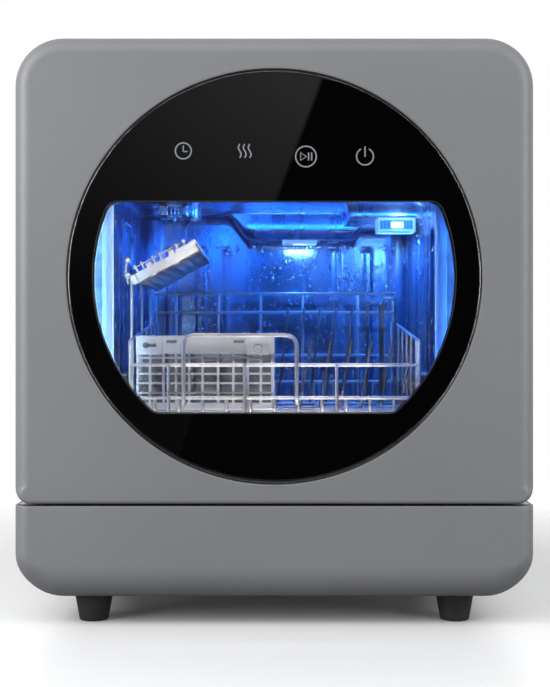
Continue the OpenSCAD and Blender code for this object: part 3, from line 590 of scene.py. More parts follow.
FINISHES = {
    "grey_paint": (body_paint, ()),
    "black_plastic": (plastic, ((0.018, 0.018, 0.02), 0.5)),
    "rear_paint": (plastic, ((0.1, 0.104, 0.11), 0.55, 900)),
    "zinc_steel": (metal, ((0.55, 0.56, 0.58), 0.42)),
    "stainless": (metal, ((0.62, 0.64, 0.67), 0.3)),
    # tub steel tinted blue and darker than the stainless: the blue is painted light of the tub lamps
    "tub_steel_painted_blue": (metal, ((0.2, 0.27, 0.42), 0.25, (1, 1, 0.3), 24, 1.0, 0.004)),
    # flange steel tinted light blue: painted light of the blue tub lamps
    "flange_steel_painted_blue": (metal, ((0.6, 0.66, 0.75), 0.42, (1, 1, 0.3), 24, 0.8)),
    "bright_steel": (metal, ((0.75, 0.75, 0.77), 0.18)),
    "rack_steel": (metal, ((0.66, 0.61, 0.56), 0.3, (1, 1, 1), 900)),
    "foot_rubber": (rubber, ((0.012, 0.012, 0.013),)),
    "grey_plastic": (plastic, ((0.47, 0.46, 0.46), 0.42)),
    "seal_silicone": (rubber, ((0.2, 0.36, 0.6),)),
    "shelf_plastic": (plastic, ((0.33, 0.32, 0.31), 0.45)),
    "perforated_steel": (perforated, ((0.42, 0.45, 0.5),)),
    # near-black plastic: painted shade that fills holes and slots
    "slot_painted_shade_plastic": (plastic, ((0.05, 0.05, 0.055), 0.5)),
    "dark_plastic": (plastic, ((0.14, 0.15, 0.17), 0.4)),
    "hose_rubber": (rubber, ((0.03, 0.03, 0.03),)),
    "copper_heater": (metal, ((0.6, 0.36, 0.2), 0.35)),
    "white_plastic": (plastic, ((0.72, 0.72, 0.7), 0.4)),
    "circuit_board": (circuit_board, ()),
    "tank_plastic": (plastic, ((0.62, 0.68, 0.72), 0.3)),
    "dark_glass": (clear_glass, ((0.52, 0.53, 0.55),)),
    "clear_glass": (clear_glass, ((0.86, 0.88, 0.9), 1.12)),
    "water": (metal, ((0.8, 0.88, 1.0), 0.12, (1, 1, 1), 300)),
    "black_print": (black_print, ()),
    "white_print": (print_ink, ((0.85, 0.86, 0.88), 0.35)),
    "grey_print": (print_ink, ((0.2, 0.21, 0.23), 0.02)),
    "lamp_lens": (lamp_lens, ((0.02, 0.2, 0.9), 0.5)),
    "lamp_core": (lamp_lens, ((0.7, 0.9, 1.0), 3.0)),
    # glowing frame plastic: painted light, the housings themselves are no lamps
    "lamp_frame_painted_glow": (lamp_lens, ((0.4, 0.72, 1.0), 0.75)),
    # darker copy of the rack steel: painted shade on the tines
    "tine_steel_painted_shade": (metal, ((0.27, 0.235, 0.21), 0.27)),
    # near-black copy of the basket plastic: painted shade inside the basket
    "basket_painted_shade_plastic": (plastic, ((0.075, 0.075, 0.08), 0.5)),
}


# ---- carried-over nodes ----


def finish_nodes():
    """Gives each node of the frame the material of its slot, or a finish of its own; the basket dividers
    get a near-black plastic, painted shade.
    """
    # the dividers take the near-black plastic of painted shade
    own = {"basket_dividers": "basket_painted_shade_plastic", "fine_filter": "perforated_steel",
           "coarse_filter": "perforated_steel", "door_seal": "seal_silicone"}
    for node, piece in frame["nodes"].items():
        piece.data.materials.clear()
        piece.data.materials.append(get_material(own.get(node, NODE_SLOT[node])))


# ---- housings ----

FRONT_Y = DOOR[1]
DOOR_BACK = DOOR[4]
SKIN = 2.5
OVER = 1  # how far a cutter reaches past the surface it cuts
SIDE_FILLET = 13
DOOR_LOW_FILLET = 3.4
BASE_LOW_FILLET = 28
FLAT_SUPPORT = 1.2
LOW_CORNER_R = 14.5
HIGH_CORNER_R = 39
BODY_RADII = (LOW_CORNER_R, LOW_CORNER_R, HIGH_CORNER_R, HIGH_CORNER_R)
BASE_RADII = (37, 37, 14, 14)
REAR_ROUNDING = 4
GLASS_JOINT = 1.2
GLASS_SEAT = 3.9
BRACKET_T = 7
NOTCH_HALF = 4.3
FOOT_R = 15.8
FOOT_SCREW_R = 2.2


def shell_rings(outline, low_fillet, y_front, y_back, trim=0, steps=8, flat_inset=None):
    """Rings from the flat front over the front fillet to the straight sides, front to back.

    The fillet runs from low_fillet underneath to SIDE_FILLET at the sides, less what an inner
    skin trims off it. A flat_inset keeps the first ring at one distance from the outline.
    """
    rings = []
    for step in range(-1, steps + 1):
        angle = math.pi / 2 * max(step, 0) / steps
        ring = []
        for point, normal in outline:
            fillet = SIDE_FILLET + (low_fillet - SIDE_FILLET) * ease(0.0, 1.0, -normal.y) - trim
            inset = fillet * (1 - math.sin(angle))
            if step < 0:
                inset = flat_inset or inset + FLAT_SUPPORT
            edge = point - normal * inset
            ring.append(Vector((edge.x, y_front + fillet * (1 - math.cos(angle)), edge.y)))
        rings.append(ring)
    rings.append([Vector((point.x, y_back, point.y)) for point, _ in outline])
    return rings


def circle_at_angles(outline, radius, y):
    """Points of a circle round the glass centre, each at the angle of an outline point."""
    ring = []
    for point, _ in outline:
        ahead = Vector((point.x, point.y - GLASS_Z)).normalized() * radius
        ring.append(Vector((ahead.x, y, GLASS_Z + ahead.y)))
    return ring


def cut_hinge_notches(piece, y0, y1, z0, z1):
    """Room for the two hinge brackets."""
    _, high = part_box("hinge_brackets")
    center = high.x / MM - BRACKET_T / 2
    bm = bmesh.new()
    for x in (-center, center):
        cutter_box(bm, x - NOTCH_HALF, x + NOTCH_HALF, y0, y1, z0, z1)
    cut(piece, bm)


def make_door_skin():
    """Hollow painted door with its round glass opening, hinge notches and grip slot."""
    x0, _, z0, x1, _, z1 = DOOR
    outline = rounded_rect(x0, z0, x1, z1, BODY_RADII, 12, 44)
    inside = [(point - normal * SKIN, normal) for point, normal in outline]
    recess = GLASS_R + GLASS_JOINT
    flat = SIDE_FILLET + FLAT_SUPPORT
    rings = [
        circle_at_angles(outline, recess + grow, FRONT_Y + deep)
        for grow, deep in ((0, GLASS_SEAT), (0, 0.55), (0.15, 0.2), (0.55, 0), (1.6, 0))
    ]
    rings += shell_rings(outline, DOOR_LOW_FILLET, FRONT_Y, DOOR_BACK, flat_inset=flat)
    rings += shell_rings(inside, DOOR_LOW_FILLET, FRONT_Y + SKIN, DOOR_BACK, trim=SKIN,
                         flat_inset=flat - SKIN)[::-1]
    rings += [circle_at_angles(outline, recess + SKIN, FRONT_Y + deep) for deep in (SKIN, GLASS_SEAT)]
    bm = bmesh.new()
    bridge(bm, rings, wrap=True)
    skin = add_piece("door_skin", bm, "door", "grey_paint", ["door_panel"])
    cut_hinge_notches(skin, FRONT_Y + 3.6, DOOR_BACK + OVER, z0 - OVER, z0 + 16)
    cutters = bmesh.new()
    cutter_box(cutters, x0 - OVER, x1 + OVER, DOOR_BACK - 3, DOOR_BACK + OVER, z0 - OVER, z0 + 4)
    grip = box_mm("door_grip")
    play = 0.1
    cutter_box(cutters, grip[0] - play, grip[3] + play, grip[1] - play, grip[4] + play, z1 - 5, z1 + OVER)
    cut(skin, cutters)


def make_cabinet_cover():
    """Sheet wrapped round the cabinet, open underneath, with the well of the tank filler."""
    x0, y0, z0, x1, y1, z1 = SHELL
    outline = rounded_rect(x0, z0, x1, z1, BODY_RADII, 12, 16)
    start = next(i for i, (point, _) in enumerate(outline)
                 if point.x > x0 + LOW_CORNER_R and abs(point.y - z0) < 0.01)
    open_steps = 14
    outline = outline[start + open_steps:] + outline[:start + 1]
    section = ((0.8, y0), (0.25, y0 + 0.25), (0, y0 + 0.8), (0, y0 + 3), (0, y1 - 3), (0, y1 - 0.8),
               (0.25, y1 - 0.25), (0.8, y1), (SKIN - 0.4, y1), (SKIN, y1 - 0.4), (SKIN, y0 + 0.4),
               (SKIN - 0.4, y0))
    bm = bmesh.new()
    loops = bridge(bm, [
        [Vector((p.x - n.x * inset, y, p.y - n.y * inset)) for p, n in outline]
        for inset, y in section
    ], closed=False, wrap=True)
    bm.faces.new([loop[0] for loop in loops])
    bm.faces.new([loop[-1] for loop in loops])
    cover = add_piece("cabinet_cover", bm, "cabinet", "grey_paint", ["cabinet_shell"])
    well = box_mm("fill_bezel")
    cut_box(cover, well[0], well[3], well[1], well[4], z1 - 6, z1 + 2)


def foot_centers():
    x0, y0, _, x1, y1, _ = box_mm("feet")
    return [(x, y, 0) for x in (x0 + FOOT_R, x1 - FOOT_R) for y in (y0 + FOOT_R, y1 - FOOT_R)]


def make_base_cover():
    """Lower housing: two closed skins drawn too tall, cut off level at the seam and bored for the feet."""
    x0, y0, z0, x1, y1, z1 = BASE
    spare = 40
    outline = rounded_rect(x0, z0, x1, z1 + spare, BASE_RADII, 12, 20)
    bm = bmesh.new()
    for inset in (0, SKIN):
        walls = [(point - normal * inset, normal) for point, normal in outline]
        rings = shell_rings(
            walls, BASE_LOW_FILLET, y0 + inset, y1 - REAR_ROUNDING, trim=inset, steps=10)
        rounding = REAR_ROUNDING - inset
        for step in range(1, 6):
            angle = math.pi / 2 * step / 5
            reach = rounding * (1 - math.cos(angle))
            y = y1 - REAR_ROUNDING + rounding * math.sin(angle)
            rings.append([Vector((p.x - n.x * reach, y, p.y - n.y * reach)) for p, n in walls])
        side = bmesh.new()
        loops = bridge(side, rings)
        side.faces.new(loops[0])
        side.faces.new(loops[-1])
        bmesh.ops.recalc_face_normals(side, faces=side.faces)
        if inset:
            bmesh.ops.reverse_faces(side, faces=side.faces)
        mesh = bpy.data.meshes.new("side")
        side.to_mesh(mesh)
        side.free()
        bm.from_mesh(mesh)
        bpy.data.meshes.remove(mesh)
    cover = add_piece("base_cover", bm, "cabinet", "grey_paint", ["base_plinth"], outward=False)
    cut_box(cover, x0 - OVER, x1 + OVER, y0 - OVER, y1 + OVER, z1, z1 + spare + 10)
    round_edges(cover, 0.8, 3, 60)
    cutters = bmesh.new()
    for center in foot_centers():
        lathe(cutters, [(FOOT_SCREW_R, z0 - OVER), (FOOT_SCREW_R, z0 + 4)], center, steps=24)
    cut(cover, cutters)


def make_seam_shade_strip():
    """Black strip on the rim of the lower housing, under the door: painted shade that darkens the seam."""
    x0, y0, _, x1, y1, z1 = BASE
    rings = []
    for inset, sunk in ((2.9, 1.2), (2.9, 0.5), (3.4, 0.1), (14, 0.1), (14.4, 0.5), (14.4, 1.2)):
        radius = max(SIDE_FILLET - inset, 0.6)
        outline = rounded_rect(x0 + inset, y0 + inset, x1 - inset, y1 - inset, (radius,) * 4, 8, 6)
        rings.append([Vector((p.x, p.y, z1 - sunk)) for p, _ in outline])
    bm = bmesh.new()
    bridge(bm, rings, wrap=True)
    # the black strip is painted shade, a dark sheet where the seam gap lies in shade
    add_piece("seam_shade_strip", bm, "cabinet", "black_plastic")


def make_feet():
    """Turned rubber feet with a hollow sole and a hole for their screw."""
    bm = bmesh.new()
    profile = [(5.6, 16), (5.6, 1.4), (6.4, 0.4), (7.4, 0), (10.8, 0), (11.7, 0.35), (12.1, 1.3),
               (12.6, 4), (15.3, 19), (15.7, 21.4), (FOOT_R, 23), (2.3, 23), (2.3, 16)]
    for center in foot_centers():
        lathe(bm, profile, center, steps=56, wrap=True)
    add_piece("rubber_feet", bm, "cabinet", "foot_rubber", ["feet"])


# ---- glass and print of the door ----

WINDOW_R = 145.4
WINDOW_TOP = 59.8
WINDOW_LOW = 109
WINDOW_CORNER = 9.6
GLASS_BACK = FRONT_Y + 3.8
PRINT_FRONT = FRONT_Y + 4.0
PRINT_BACK = FRONT_Y + 4.4
INK_Y = PRINT_FRONT - 0.06
INK = 0.04
SIGN_STROKE = 1.05
HIGH_SIGNS = GLASS_Z + 101.2
LOW_SIGNS = GLASS_Z + 96.7
LINER_T = 2
COLLAR_DEPTH = 16


def window_outline(grow=0.0):
    """Round window cut straight at its top and foot, as (point, normal) pairs about the glass centre."""
    radius, top, low, corner = (
        size + grow for size in (WINDOW_R, WINDOW_TOP, WINDOW_LOW, WINDOW_CORNER))
    centers = []
    for height, sign in ((low, -1), (top, 1)):
        cz = height - corner
        cx = math.sqrt((radius - corner) ** 2 - cz ** 2)
        lean = math.degrees(math.atan2(cz, cx))
        centers.append((cx, cz * sign, lean * sign))
    (low_x, low_z, low_lean), (top_x, top_z, top_lean) = centers
    right = arc(low_x, low_z, corner, -90, low_lean, 6)
    right += arc(0, 0, radius, low_lean, top_lean, 48)[1:-1]
    right += arc(top_x, top_z, corner, top_lean, 90, 6)
    outline = list(right)
    across = 28
    for step in range(1, across):
        outline.append((Vector((top_x * (1 - 2 * step / across), top)), Vector((0, 1))))
    outline += [(Vector((-p.x, p.y)), Vector((-n.x, n.y))) for p, n in reversed(right)]
    for step in range(1, across):
        outline.append((Vector((low_x * (2 * step / across - 1), -low)), Vector((0, -1))))
    return outline


def window_ring(grow, y):
    return [Vector((p.x, y, GLASS_Z + p.y)) for p, _ in window_outline(grow)]


def make_glass():
    """Round glass plate with a ground front edge."""
    bm = bmesh.new()
    profile = [(GLASS_R - 3, FRONT_Y), (GLASS_R - 1.5, FRONT_Y), (GLASS_R - 0.75, FRONT_Y + 0.18),
               (GLASS_R - 0.2, FRONT_Y + 0.65), (GLASS_R, FRONT_Y + 1.4), (GLASS_R, GLASS_BACK - 0.5),
               (GLASS_R - 0.5, GLASS_BACK), (GLASS_R - 2, GLASS_BACK)]
    lathe(bm, profile, (0, 0, GLASS_Z), "Y", 192)
    add_piece("glass_plate", bm, "door", "dark_glass", ["glass_disc"], angle=50)


def make_print():
    """Black print behind the glass, with the thin light line that borders the window."""
    outline = [(Vector((p.x, p.y + GLASS_Z)), n) for p, n in window_outline()]
    radius = GLASS_R - 0.2
    bm = bmesh.new()
    rings = [circle_at_angles(outline, radius, PRINT_FRONT), window_ring(0, PRINT_FRONT),
             window_ring(0, PRINT_BACK), circle_at_angles(outline, radius, PRINT_BACK)]
    bridge(bm, rings, wrap=True)
    add_piece("black_border", bm, "door", "black_print", ["mask_ring"])
    bm = bmesh.new()
    points = [p + n * 0.9 + Vector((0, GLASS_Z)) for p, n in window_outline()]
    stroke(bm, points, 0.75, INK_Y, closed=True)
    line = add_piece("window_line", bm, "door", "black_print", outward=False, material="grey_print")
    thicken(line, INK)


def make_door_liner():
    """Steel inner skin of the door with its pane collar, bosses and slots."""
    x0, _, z0, x1, _, z1 = box_mm("door_liner")
    front, back = DOOR_BACK - LINER_T, DOOR_BACK
    collar = DOOR_BACK - COLLAR_DEPTH
    outline = rounded_rect(x0, z0, x1, z1, (2, 2, 36, 36), 12, 44)
    window = [(Vector((p.x, p.y + GLASS_Z)), n) for p, n in window_outline(4)]

    def toward(ring, y, grow=0.0):
        """Points of an outline at one depth, pushed outwards."""
        return [Vector((p.x + n.x * grow, y, p.y + n.y * grow)) for p, n in ring]

    bm = bmesh.new()
    loft(bm, [toward(outline, front, -0.5), toward(outline, front + 0.5),
              toward(outline, back - 0.5), toward(outline, back, -0.5)])
    liner = add_piece("door_inner_skin", bm, "door", "stainless", ["door_liner"])
    cutters = bmesh.new()
    loft(cutters, [toward(window, front - OVER), toward(window, back + OVER)])
    cut(liner, cutters)
    latch_half, latch_z0, latch_z1 = 13, 453, 458
    cut_box(liner, -latch_half, latch_half, front - OVER, back + OVER, latch_z0, latch_z1)
    cut_box(liner, x0 - OVER, x1 + OVER, front - OVER, back + OVER, z0 - OVER, z0 + 1.5)
    cut_hinge_notches(liner, front - OVER, back + OVER, z0 - OVER, z0 + 14)
    bm = bmesh.new()
    outer, inner = 4, 1.4
    bridge(bm, [toward(window, front + 0.2, outer), toward(window, collar, outer),
                toward(window, collar, inner), toward(window, front + 0.2, inner)], wrap=True)
    foot, tip = FRONT_Y + 8, front - 0.1
    boss = [(1.8, foot), (4.4, foot), (5, foot + 0.6), (5, tip), (1.8, tip)]
    for x in (-150, 150):
        for z in (GLASS_Z - 160, GLASS_Z + 160):
            lathe(bm, boss, (x, 0, z), "Y", 24, wrap=True)
    add_piece("pane_collar", bm, "door", "stainless")
    bm = bmesh.new()
    bridge(bm, [toward(window, front - 0.1, 0.9), toward(window, front - 1.9, 0.9),
                toward(window, front - 1.9, 0.1), toward(window, front - 1, -0.2),
                toward(window, front - 0.1, 0.1)], wrap=True)
    add_piece("pane_seal", bm, "door", "foot_rubber", ["pane_gasket"])


def circle_points(cx, cz, radius, start=0, end=360):
    return [point for point, _ in arc(cx, cz, radius, start, end, 40)]


def make_icons():
    """Clock, steam, start and power signs behind the upper part of the glass."""
    bm = bmesh.new()

    def draw(points, closed=False):
        stroke(bm, points, SIGN_STROKE, INK_Y, closed)

    clock_x, start_x, power_x = -73.2, 25.45, 72.95
    z = HIGH_SIGNS
    draw(circle_points(clock_x, z, 6.4)[:-1], closed=True)
    draw([(clock_x, z + 4.2), (clock_x, z - 0.5), (clock_x + 3.4, z - 0.5)])
    for steam_x in (-27.8, -23.8, -19.8):
        shares = [step / 16 for step in range(17)]
        draw([(steam_x + 1.1 * math.sin(math.tau * share), z - 5.5 + 11 * share) for share in shares])
    z = LOW_SIGNS
    draw(circle_points(start_x, z, 8.3)[:-1], closed=True)
    draw([(start_x - 4.3, z + 3.2), (start_x - 4.3, z - 3.2), (start_x + 0.3, z)], closed=True)
    for x in (start_x + 2.1, start_x + 4.6):
        draw([(x, z - 3.2), (x, z + 3.2)])
    draw(circle_points(power_x, z, 6.8, 118, 422))
    draw([(power_x, z + 8.2), (power_x, z - 0.3)])
    icons = add_piece("touch_signs", bm, "door", "black_print", outward=False, material="white_print")
    thicken(icons, INK)


# ---- tub ----

TUB_X = 141.0
TUB_FLOOR = 110.0
TUB_TOP = 367.0
TUB_MOUTH = (-134.5, 120.0, 134.5, 361.0)
TUB_FRONT = -171.0
TUB_REAR = 150.0
SIDE_BEADS = ((-100, 9, 2.4), (-70, 5, 1.6), (26, 15, 2.4), (92, 7, 2.0))
BACK_BEADS = ((-80, 7, 2.4), (-113, 6, 2.4), (101, 6, 2.4), (68, 5, 1.8), (-52, 4, 1.6))
BEAD_EDGE = 3.2
BULKHEAD_DROP = 27
BULKHEAD_FACE = ((84.4, 0), (85, 0.04), (85.3, 0.15), (85.9, 0.66), (86.3, 0.73), (87, 0.78), (92, 0.97),
                 (94.5, 1))
STEP_DROP = 15
STEP_FACE = ((-16, 0), (-15.2, 0.1), (-14.4, 0.8), (-13, 0.97), (-11, 1))
COVE_R = 7
FLOOR_FILLET = 11
MOUTH_SECTION = ((0.9, 2.4), (0.1, 2.2), (0, 1.6), (0, 0.9), (0.25, 0.25), (0.9, 0), (4, 0), (5, 0.5))
FLANGE = (-154, 100.2, 154, 379)


def bead(where, beads, height):
    """How far pressed ribs, as (middle, half width, depth), stand into the tub at a place."""
    fade = ease(128, 134, height) * (1 - ease(330, 336, height))
    reach = 0.0
    for center, half, depth in beads:
        reach = max(reach, depth * ease(0, BEAD_EDGE, half - abs(where - center)))
    return reach * fade


def tub_wall_point(point, normal, z):
    """A wall point with its rib pressed in; normal points out of the tub."""
    if abs(normal.x) > 0.99:
        inward = bead(point.y, SIDE_BEADS, z)
    elif normal.y > 0.99:
        inward = bead(point.x, BACK_BEADS, z)
    else:
        inward = 0
    return Vector((point.x - normal.x * inward, point.y - normal.y * inward, z))


def ceiling_drop(x, y):
    """How far the ceiling hangs down: a deep bulkhead at the back and a shallow step on the right."""
    bulkhead = BULKHEAD_DROP * ramp(y, BULKHEAD_FACE) * ease(-52, -24, x) * (1 - ease(83, 101, x))
    step = STEP_DROP * ease(68, 73, x) * ramp(y, STEP_FACE)
    wall = min(TUB_X - abs(x), y - TUB_FRONT - 1, TUB_REAR - y)
    cove = 0
    if wall < COVE_R:
        cove = COVE_R - math.sqrt(max(0, COVE_R ** 2 - (COVE_R - max(wall, 0)) ** 2))
    return max(bulkhead, step) + cove


def spaced(low, high, step, extra):
    """Evenly spaced places with extra ones where the shape turns."""
    count = max(1, round((high - low) / step))
    places = {round(low + (high - low) * i / count, 3) for i in range(count + 1)}
    return sorted(places | {place for place in extra if low <= place <= high})


def make_tub():
    """Pressed tub: floor with its sump hole, ribbed walls, stepped ceiling and the rolled mouth."""
    x1, y0, y1 = TUB_X, TUB_FRONT + 1.2, TUB_REAR
    outline = rounded_rect(-x1, y0, x1, y1, (2.5, 2.5, 22, 22), 8, 110)
    bm = bmesh.new()
    sump = box_mm("fine_filter")
    cx, cy = (sump[0] + sump[3]) / 2, (sump[1] + sump[4]) / 2
    rings = []
    for radius, sunk in ((40, 1.5), (41, 0), (60, 0)):
        ring = []
        for point, _ in outline:
            ahead = (point - Vector((cx, cy))).normalized() * radius
            ring.append(Vector((cx + ahead.x, cy + ahead.y, TUB_FLOOR - sunk)))
        rings.append(ring)
    for step in range(9):
        angle = math.pi / 2 * step / 8
        inset = FLOOR_FILLET * (1 - math.sin(angle))
        z = TUB_FLOOR + FLOOR_FILLET * (1 - math.cos(angle))
        rings.append([Vector((p.x - n.x * inset, p.y - n.y * inset, z)) for p, n in outline])
    loops = bridge(bm, rings)
    back = [i for i, (_, normal) in enumerate(outline) if normal.y >= -0.9]
    start = next(i for i in back if (i - 1) % len(outline) not in back)
    order = [(start + k) % len(outline) for k in range(len(back))]
    heights = spaced(TUB_FLOOR + FLOOR_FILLET, TUB_TOP + 0.5, 10, (126, 128, 131, 134, 330, 333, 336))
    below = [loops[-1][i] for i in order]
    for z in heights[1:]:
        above = [bm.verts.new(tub_wall_point(*outline[i], z)) for i in order]
        for i in range(len(order) - 1):
            bm.faces.new((below[i], below[i + 1], above[i + 1], above[i]))
        below = above
    xs = spaced(-x1, x1, 7, (-140.6, -139.6, -138, -136, -48, -44, -40, -36, -32, -28, 68, 70, 71.5, 73,
                             83, 86, 89, 92, 95, 98, 101, 136, 138, 139.6, 140.6))
    ys = spaced(y0, y1, 8, (-169.4, -168.4, -166.5, -164, -16, -15.6, -15.2, -14.8, -14.4, -13, -11, 84.4,
                            85, 85.15, 85.3, 85.6, 85.9, 86.3, 87, 89, 92, 94.5, 144, 146.5, 148.4, 149.4))
    rows = [[bm.verts.new((x, y, TUB_TOP - ceiling_drop(x, y))) for x in xs] for y in ys]
    for near, far in zip(rows, rows[1:]):
        for i in range(len(xs) - 1):
            bm.faces.new((near[i], near[i + 1], far[i + 1], far[i]))
    # the blue tint of its steel is painted light of the blue tub lamps
    add_piece("tub_liner", bm, "cabinet", "stainless", ["tub"], outward=False, angle=40,
              material="tub_steel_painted_blue")
    bm = bmesh.new()
    mx0, mz0, mx1, mz1 = TUB_MOUTH
    rings = []
    for grow, y in MOUTH_SECTION:
        mouth = rounded_rect(mx0 - grow, mz0 - grow, mx1 + grow, mz1 + grow, (9 + grow,) * 4, 8, 10)
        rings.append([Vector((p.x, TUB_FRONT + y, p.y)) for p, _ in mouth])
    rim = rounded_rect(*FLANGE, (9,) * 4, 8, 10)
    for y in (0.5, 1.6):
        rings.append([Vector((p.x, TUB_FRONT + y, p.y)) for p, _ in rim])
    bridge(bm, rings)
    # the blue tint of the lip is painted light of the tub lamps
    add_piece("mouth_lip", bm, "cabinet", "stainless", material="flange_steel_painted_blue")


# ---- what hangs in the tub ----

DROP_RINGS = ((0, 1), (0.32, 0.86), (0.52, 0.5))  # height and width, as shares of the radius
DROP_SIDES = 8
WALL_DROPS = (((0, 1, 0), 620), ((-1, 0, 0), 330), ((1, 0, 0), 260))
SIDE_LAMP = (99.2, 135.8, -14.8, 14.8, 338.2, 351.8)
BACK_LAMP = (8.2, 44.8, 105.2, 129.8, 336.2, 339.8)
SPRAYER = (-112.8, -83.4, 0.4, 29.6, 353.2, 367)


def drop(bm, where, normal, radius, stretch):
    """One drop of water on a wall; it hangs a little downwards."""
    across = normal.cross(Vector((0, 0, 1)))
    if across.length < 0.1:
        across = Vector((1, 0, 0))
    across.normalize()
    down = across.cross(normal).normalized()
    rings = []
    for lift, width in DROP_RINGS:
        ring = []
        for i in range(DROP_SIDES):
            angle = 2 * math.pi * i / DROP_SIDES
            ring.append(
                where + across * (math.cos(angle) * radius * width)
                + down * (math.sin(angle) * radius * width * stretch) + normal * (lift * radius))
        rings.append(ring)
    loft(bm, rings)


def make_droplets(liner):
    """Seeded water drops on the back and side walls of the tub."""
    rng = random.Random(41)
    bpy.context.view_layer.update()
    bm = bmesh.new()
    for wall, count in WALL_DROPS:
        for _ in range(count):
            z = rng.uniform(190, 362)
            if wall[1]:
                start = Vector((rng.uniform(-132, 132), 70, min(z, 335)))
            else:
                start = Vector((0, rng.uniform(-150, 138), min(z, 345)))
            hit, where, normal, _ = liner.ray_cast(start * MM, Vector(wall))
            radius = rng.choice((0.6, 0.7, 0.9, 0.9, 1.2, 1.6)) * rng.uniform(0.8, 1.2)
            stretch = rng.choice((1, 1.1, 1.2, 2.6)) if radius > 0.7 else 1
            if hit:
                if normal.dot(Vector(wall)) > 0:
                    normal = -normal
                drop(bm, where / MM + normal * 0.02, normal, radius, stretch)
    add_piece("wall_droplets", bm, "cabinet", "clear_glass", angle=60, material="water")


def make_lamp_fittings():
    """Two framed lamp housings with ridged lenses; the frames glow with painted light."""
    bm = bmesh.new()
    x0, x1, y0, y1, z0, z1 = SIDE_LAMP
    frame_w = 2.4
    for box in (((x0, y0, z1 - frame_w), (x1, y1, z1)), ((x0, y0, z0), (x1, y0 + frame_w, z0 + frame_w)),
                ((x0, y1 - frame_w, z0), (x1, y1, z1)), ((x0, y0, z0), (x0 + frame_w, y1, z1)),
                ((x1 - frame_w, y0, z0), (x1, y1, z1))):
        soft_box(bm, *box, 0.7, 3)
    left, right, near, far, low, high = BACK_LAMP
    for box in (((left, near, low), (right, near + 3.2, high)),
                ((left, far - 3.4, low), (right, far, high)),
                ((left, near, low), (left + 3, far, high)),
                ((right - 3, near, low), (right, far, high))):
        soft_box(bm, *box, 0.7, 3)
    # the frames glow with painted light of the lamps
    add_piece("lamp_frames", bm, "cabinet", "zinc_steel", ["lamp_housings"], material="lamp_frame_painted_glow")
    bm = bmesh.new()
    soft_box(bm, (112, y0 + 0.1, 341.5), (124, y0 + 0.9, 347.6), 0.3, 3)
    soft_box(bm, (20, near + 2.4, low + 0.1), (33, far - 3.8, low + 0.6), 0.2, 3)
    add_piece("lamp_cores", bm, "cabinet", "lamp_lens", material="lamp_core")
    bm = bmesh.new()
    for rib in range(10):
        x = x0 + 2.6 + 3.13 * rib
        soft_box(bm, (x, y0 + 0.8, z0 + 2.6), (x + 2.9, y0 + 3, z1 - 2.6), 1.0, 3)
        soft_box(bm, (x, y0 + 2.6, z0 + 0.8), (x + 2.9, y1 - 2.6, z0 + 2.6), 0.8, 3)
        x = left + 3.2 + 3.0 * rib
        soft_box(bm, (x, near + 3.4, low + 0.6), (x + 2.8, far - 3.6, low + 2.2), 0.7, 3)
    add_piece("lamp_ribbed_lenses", bm, "cabinet", "lamp_lens", ["lamp_lenses"])


def make_sprayer():
    """Ceiling spray box with a dark slot in its front and a round spout beside it."""
    bm = bmesh.new()
    x0, x1, y0, y1, z0, z1 = SPRAYER
    for box in (((x0, y0, z1 - 3.6), (x1, y0 + 3, z1)), ((x0, y0, z0), (x1, y0 + 3, z0 + 3.4)),
                ((x0, y0, z0), (x0 + 9, y0 + 3, z1)), ((x1 - 8, y0, z0), (x1, y0 + 3, z1)),
                ((x0, y0 + 2, z0), (x1, y1, z0 + 2.6)), ((x0, y1 - 3, z0), (x1, y1, z1)),
                ((x0, y0 + 2, z0), (x0 + 2.4, y1, z1)), ((x1 - 2.4, y0 + 2, z0), (x1, y1, z1))):
        soft_box(bm, *box, 0.9, 3)
    for i in range(3):
        x = x0 + 11 + 3.6 * i
        soft_box(bm, (x, y0 + 3.4, z0 + 2.5), (x + 1.6, y0 + 8, z1 - 3), 0.4)
    middle = (y0 + y1) / 2
    spout = [(5.9, z1), (5.9, 351.6), (5.3, 350.3), (3.6, 350.1), (3.2, 351), (3.2, 362), (1, 362.4)]
    lathe(bm, spout, (-77.8, middle, 0), "Z", 32)
    screw = [(2.4, 353.4), (2.4, 351.4), (1.6, 350.8), (0.6, 350.8)]
    lathe(bm, screw, (-98, middle, 0), "Z", 20)
    add_piece("sprayer_box", bm, "cabinet", "stainless", ["ceiling_sprayer"], material="bright_steel")


# ---- rack ----

RACK_X = 127.0
RACK_Z = 168.0
RACK_FRONT = -120.04
RACK_BACK = 119.8
POST_Y = -122.6
WIRE = 1.6
THIN_WIRE = 1.3
CROSS_Z = RACK_Z + 2.6
RIM_SLOPE = (RACK_Z + 64.8, RACK_Z + 85.7)
GRID_STEP = 39.1
TINE_ROWS = (-75.96, 37.04)
GLIDE_YS = (9.96, 92.0)
SHELF_ROD = (-129.5, 289.0)
SHELF_POSTS = (-104.04, -22.04, 57.96)


def make_rack_floor():
    """Long floor wires turned up at both ends, with the cross wires and side rails they meet."""
    bm = bmesh.new()
    for i in range(11):
        x = -105 + 21 * i
        tube(bm, bend([(x, RACK_FRONT + 0.4, RACK_Z + 13), (x, RACK_FRONT + 1.2, RACK_Z + 1),
                       (x, RACK_BACK, RACK_Z + 1), (x, RACK_BACK - 1.5, RACK_Z + 20)], 7), WIRE)
    for ys, radius in (((-114.0, -38.0, 40.0), WIRE), ((-78.0, 35.0), THIN_WIRE)):
        for y in ys:
            tube(bm, [(-RACK_X, y, CROSS_Z), (RACK_X, y, CROSS_Z)], radius)
    for side in (-1, 1):
        tube(bm, [(side * RACK_X, RACK_FRONT, RACK_Z), (side * RACK_X, RACK_BACK, RACK_Z)], WIRE)
    add_piece("rack_floor_wires", bm, "rack", "rack_steel", ["rack_floor"])


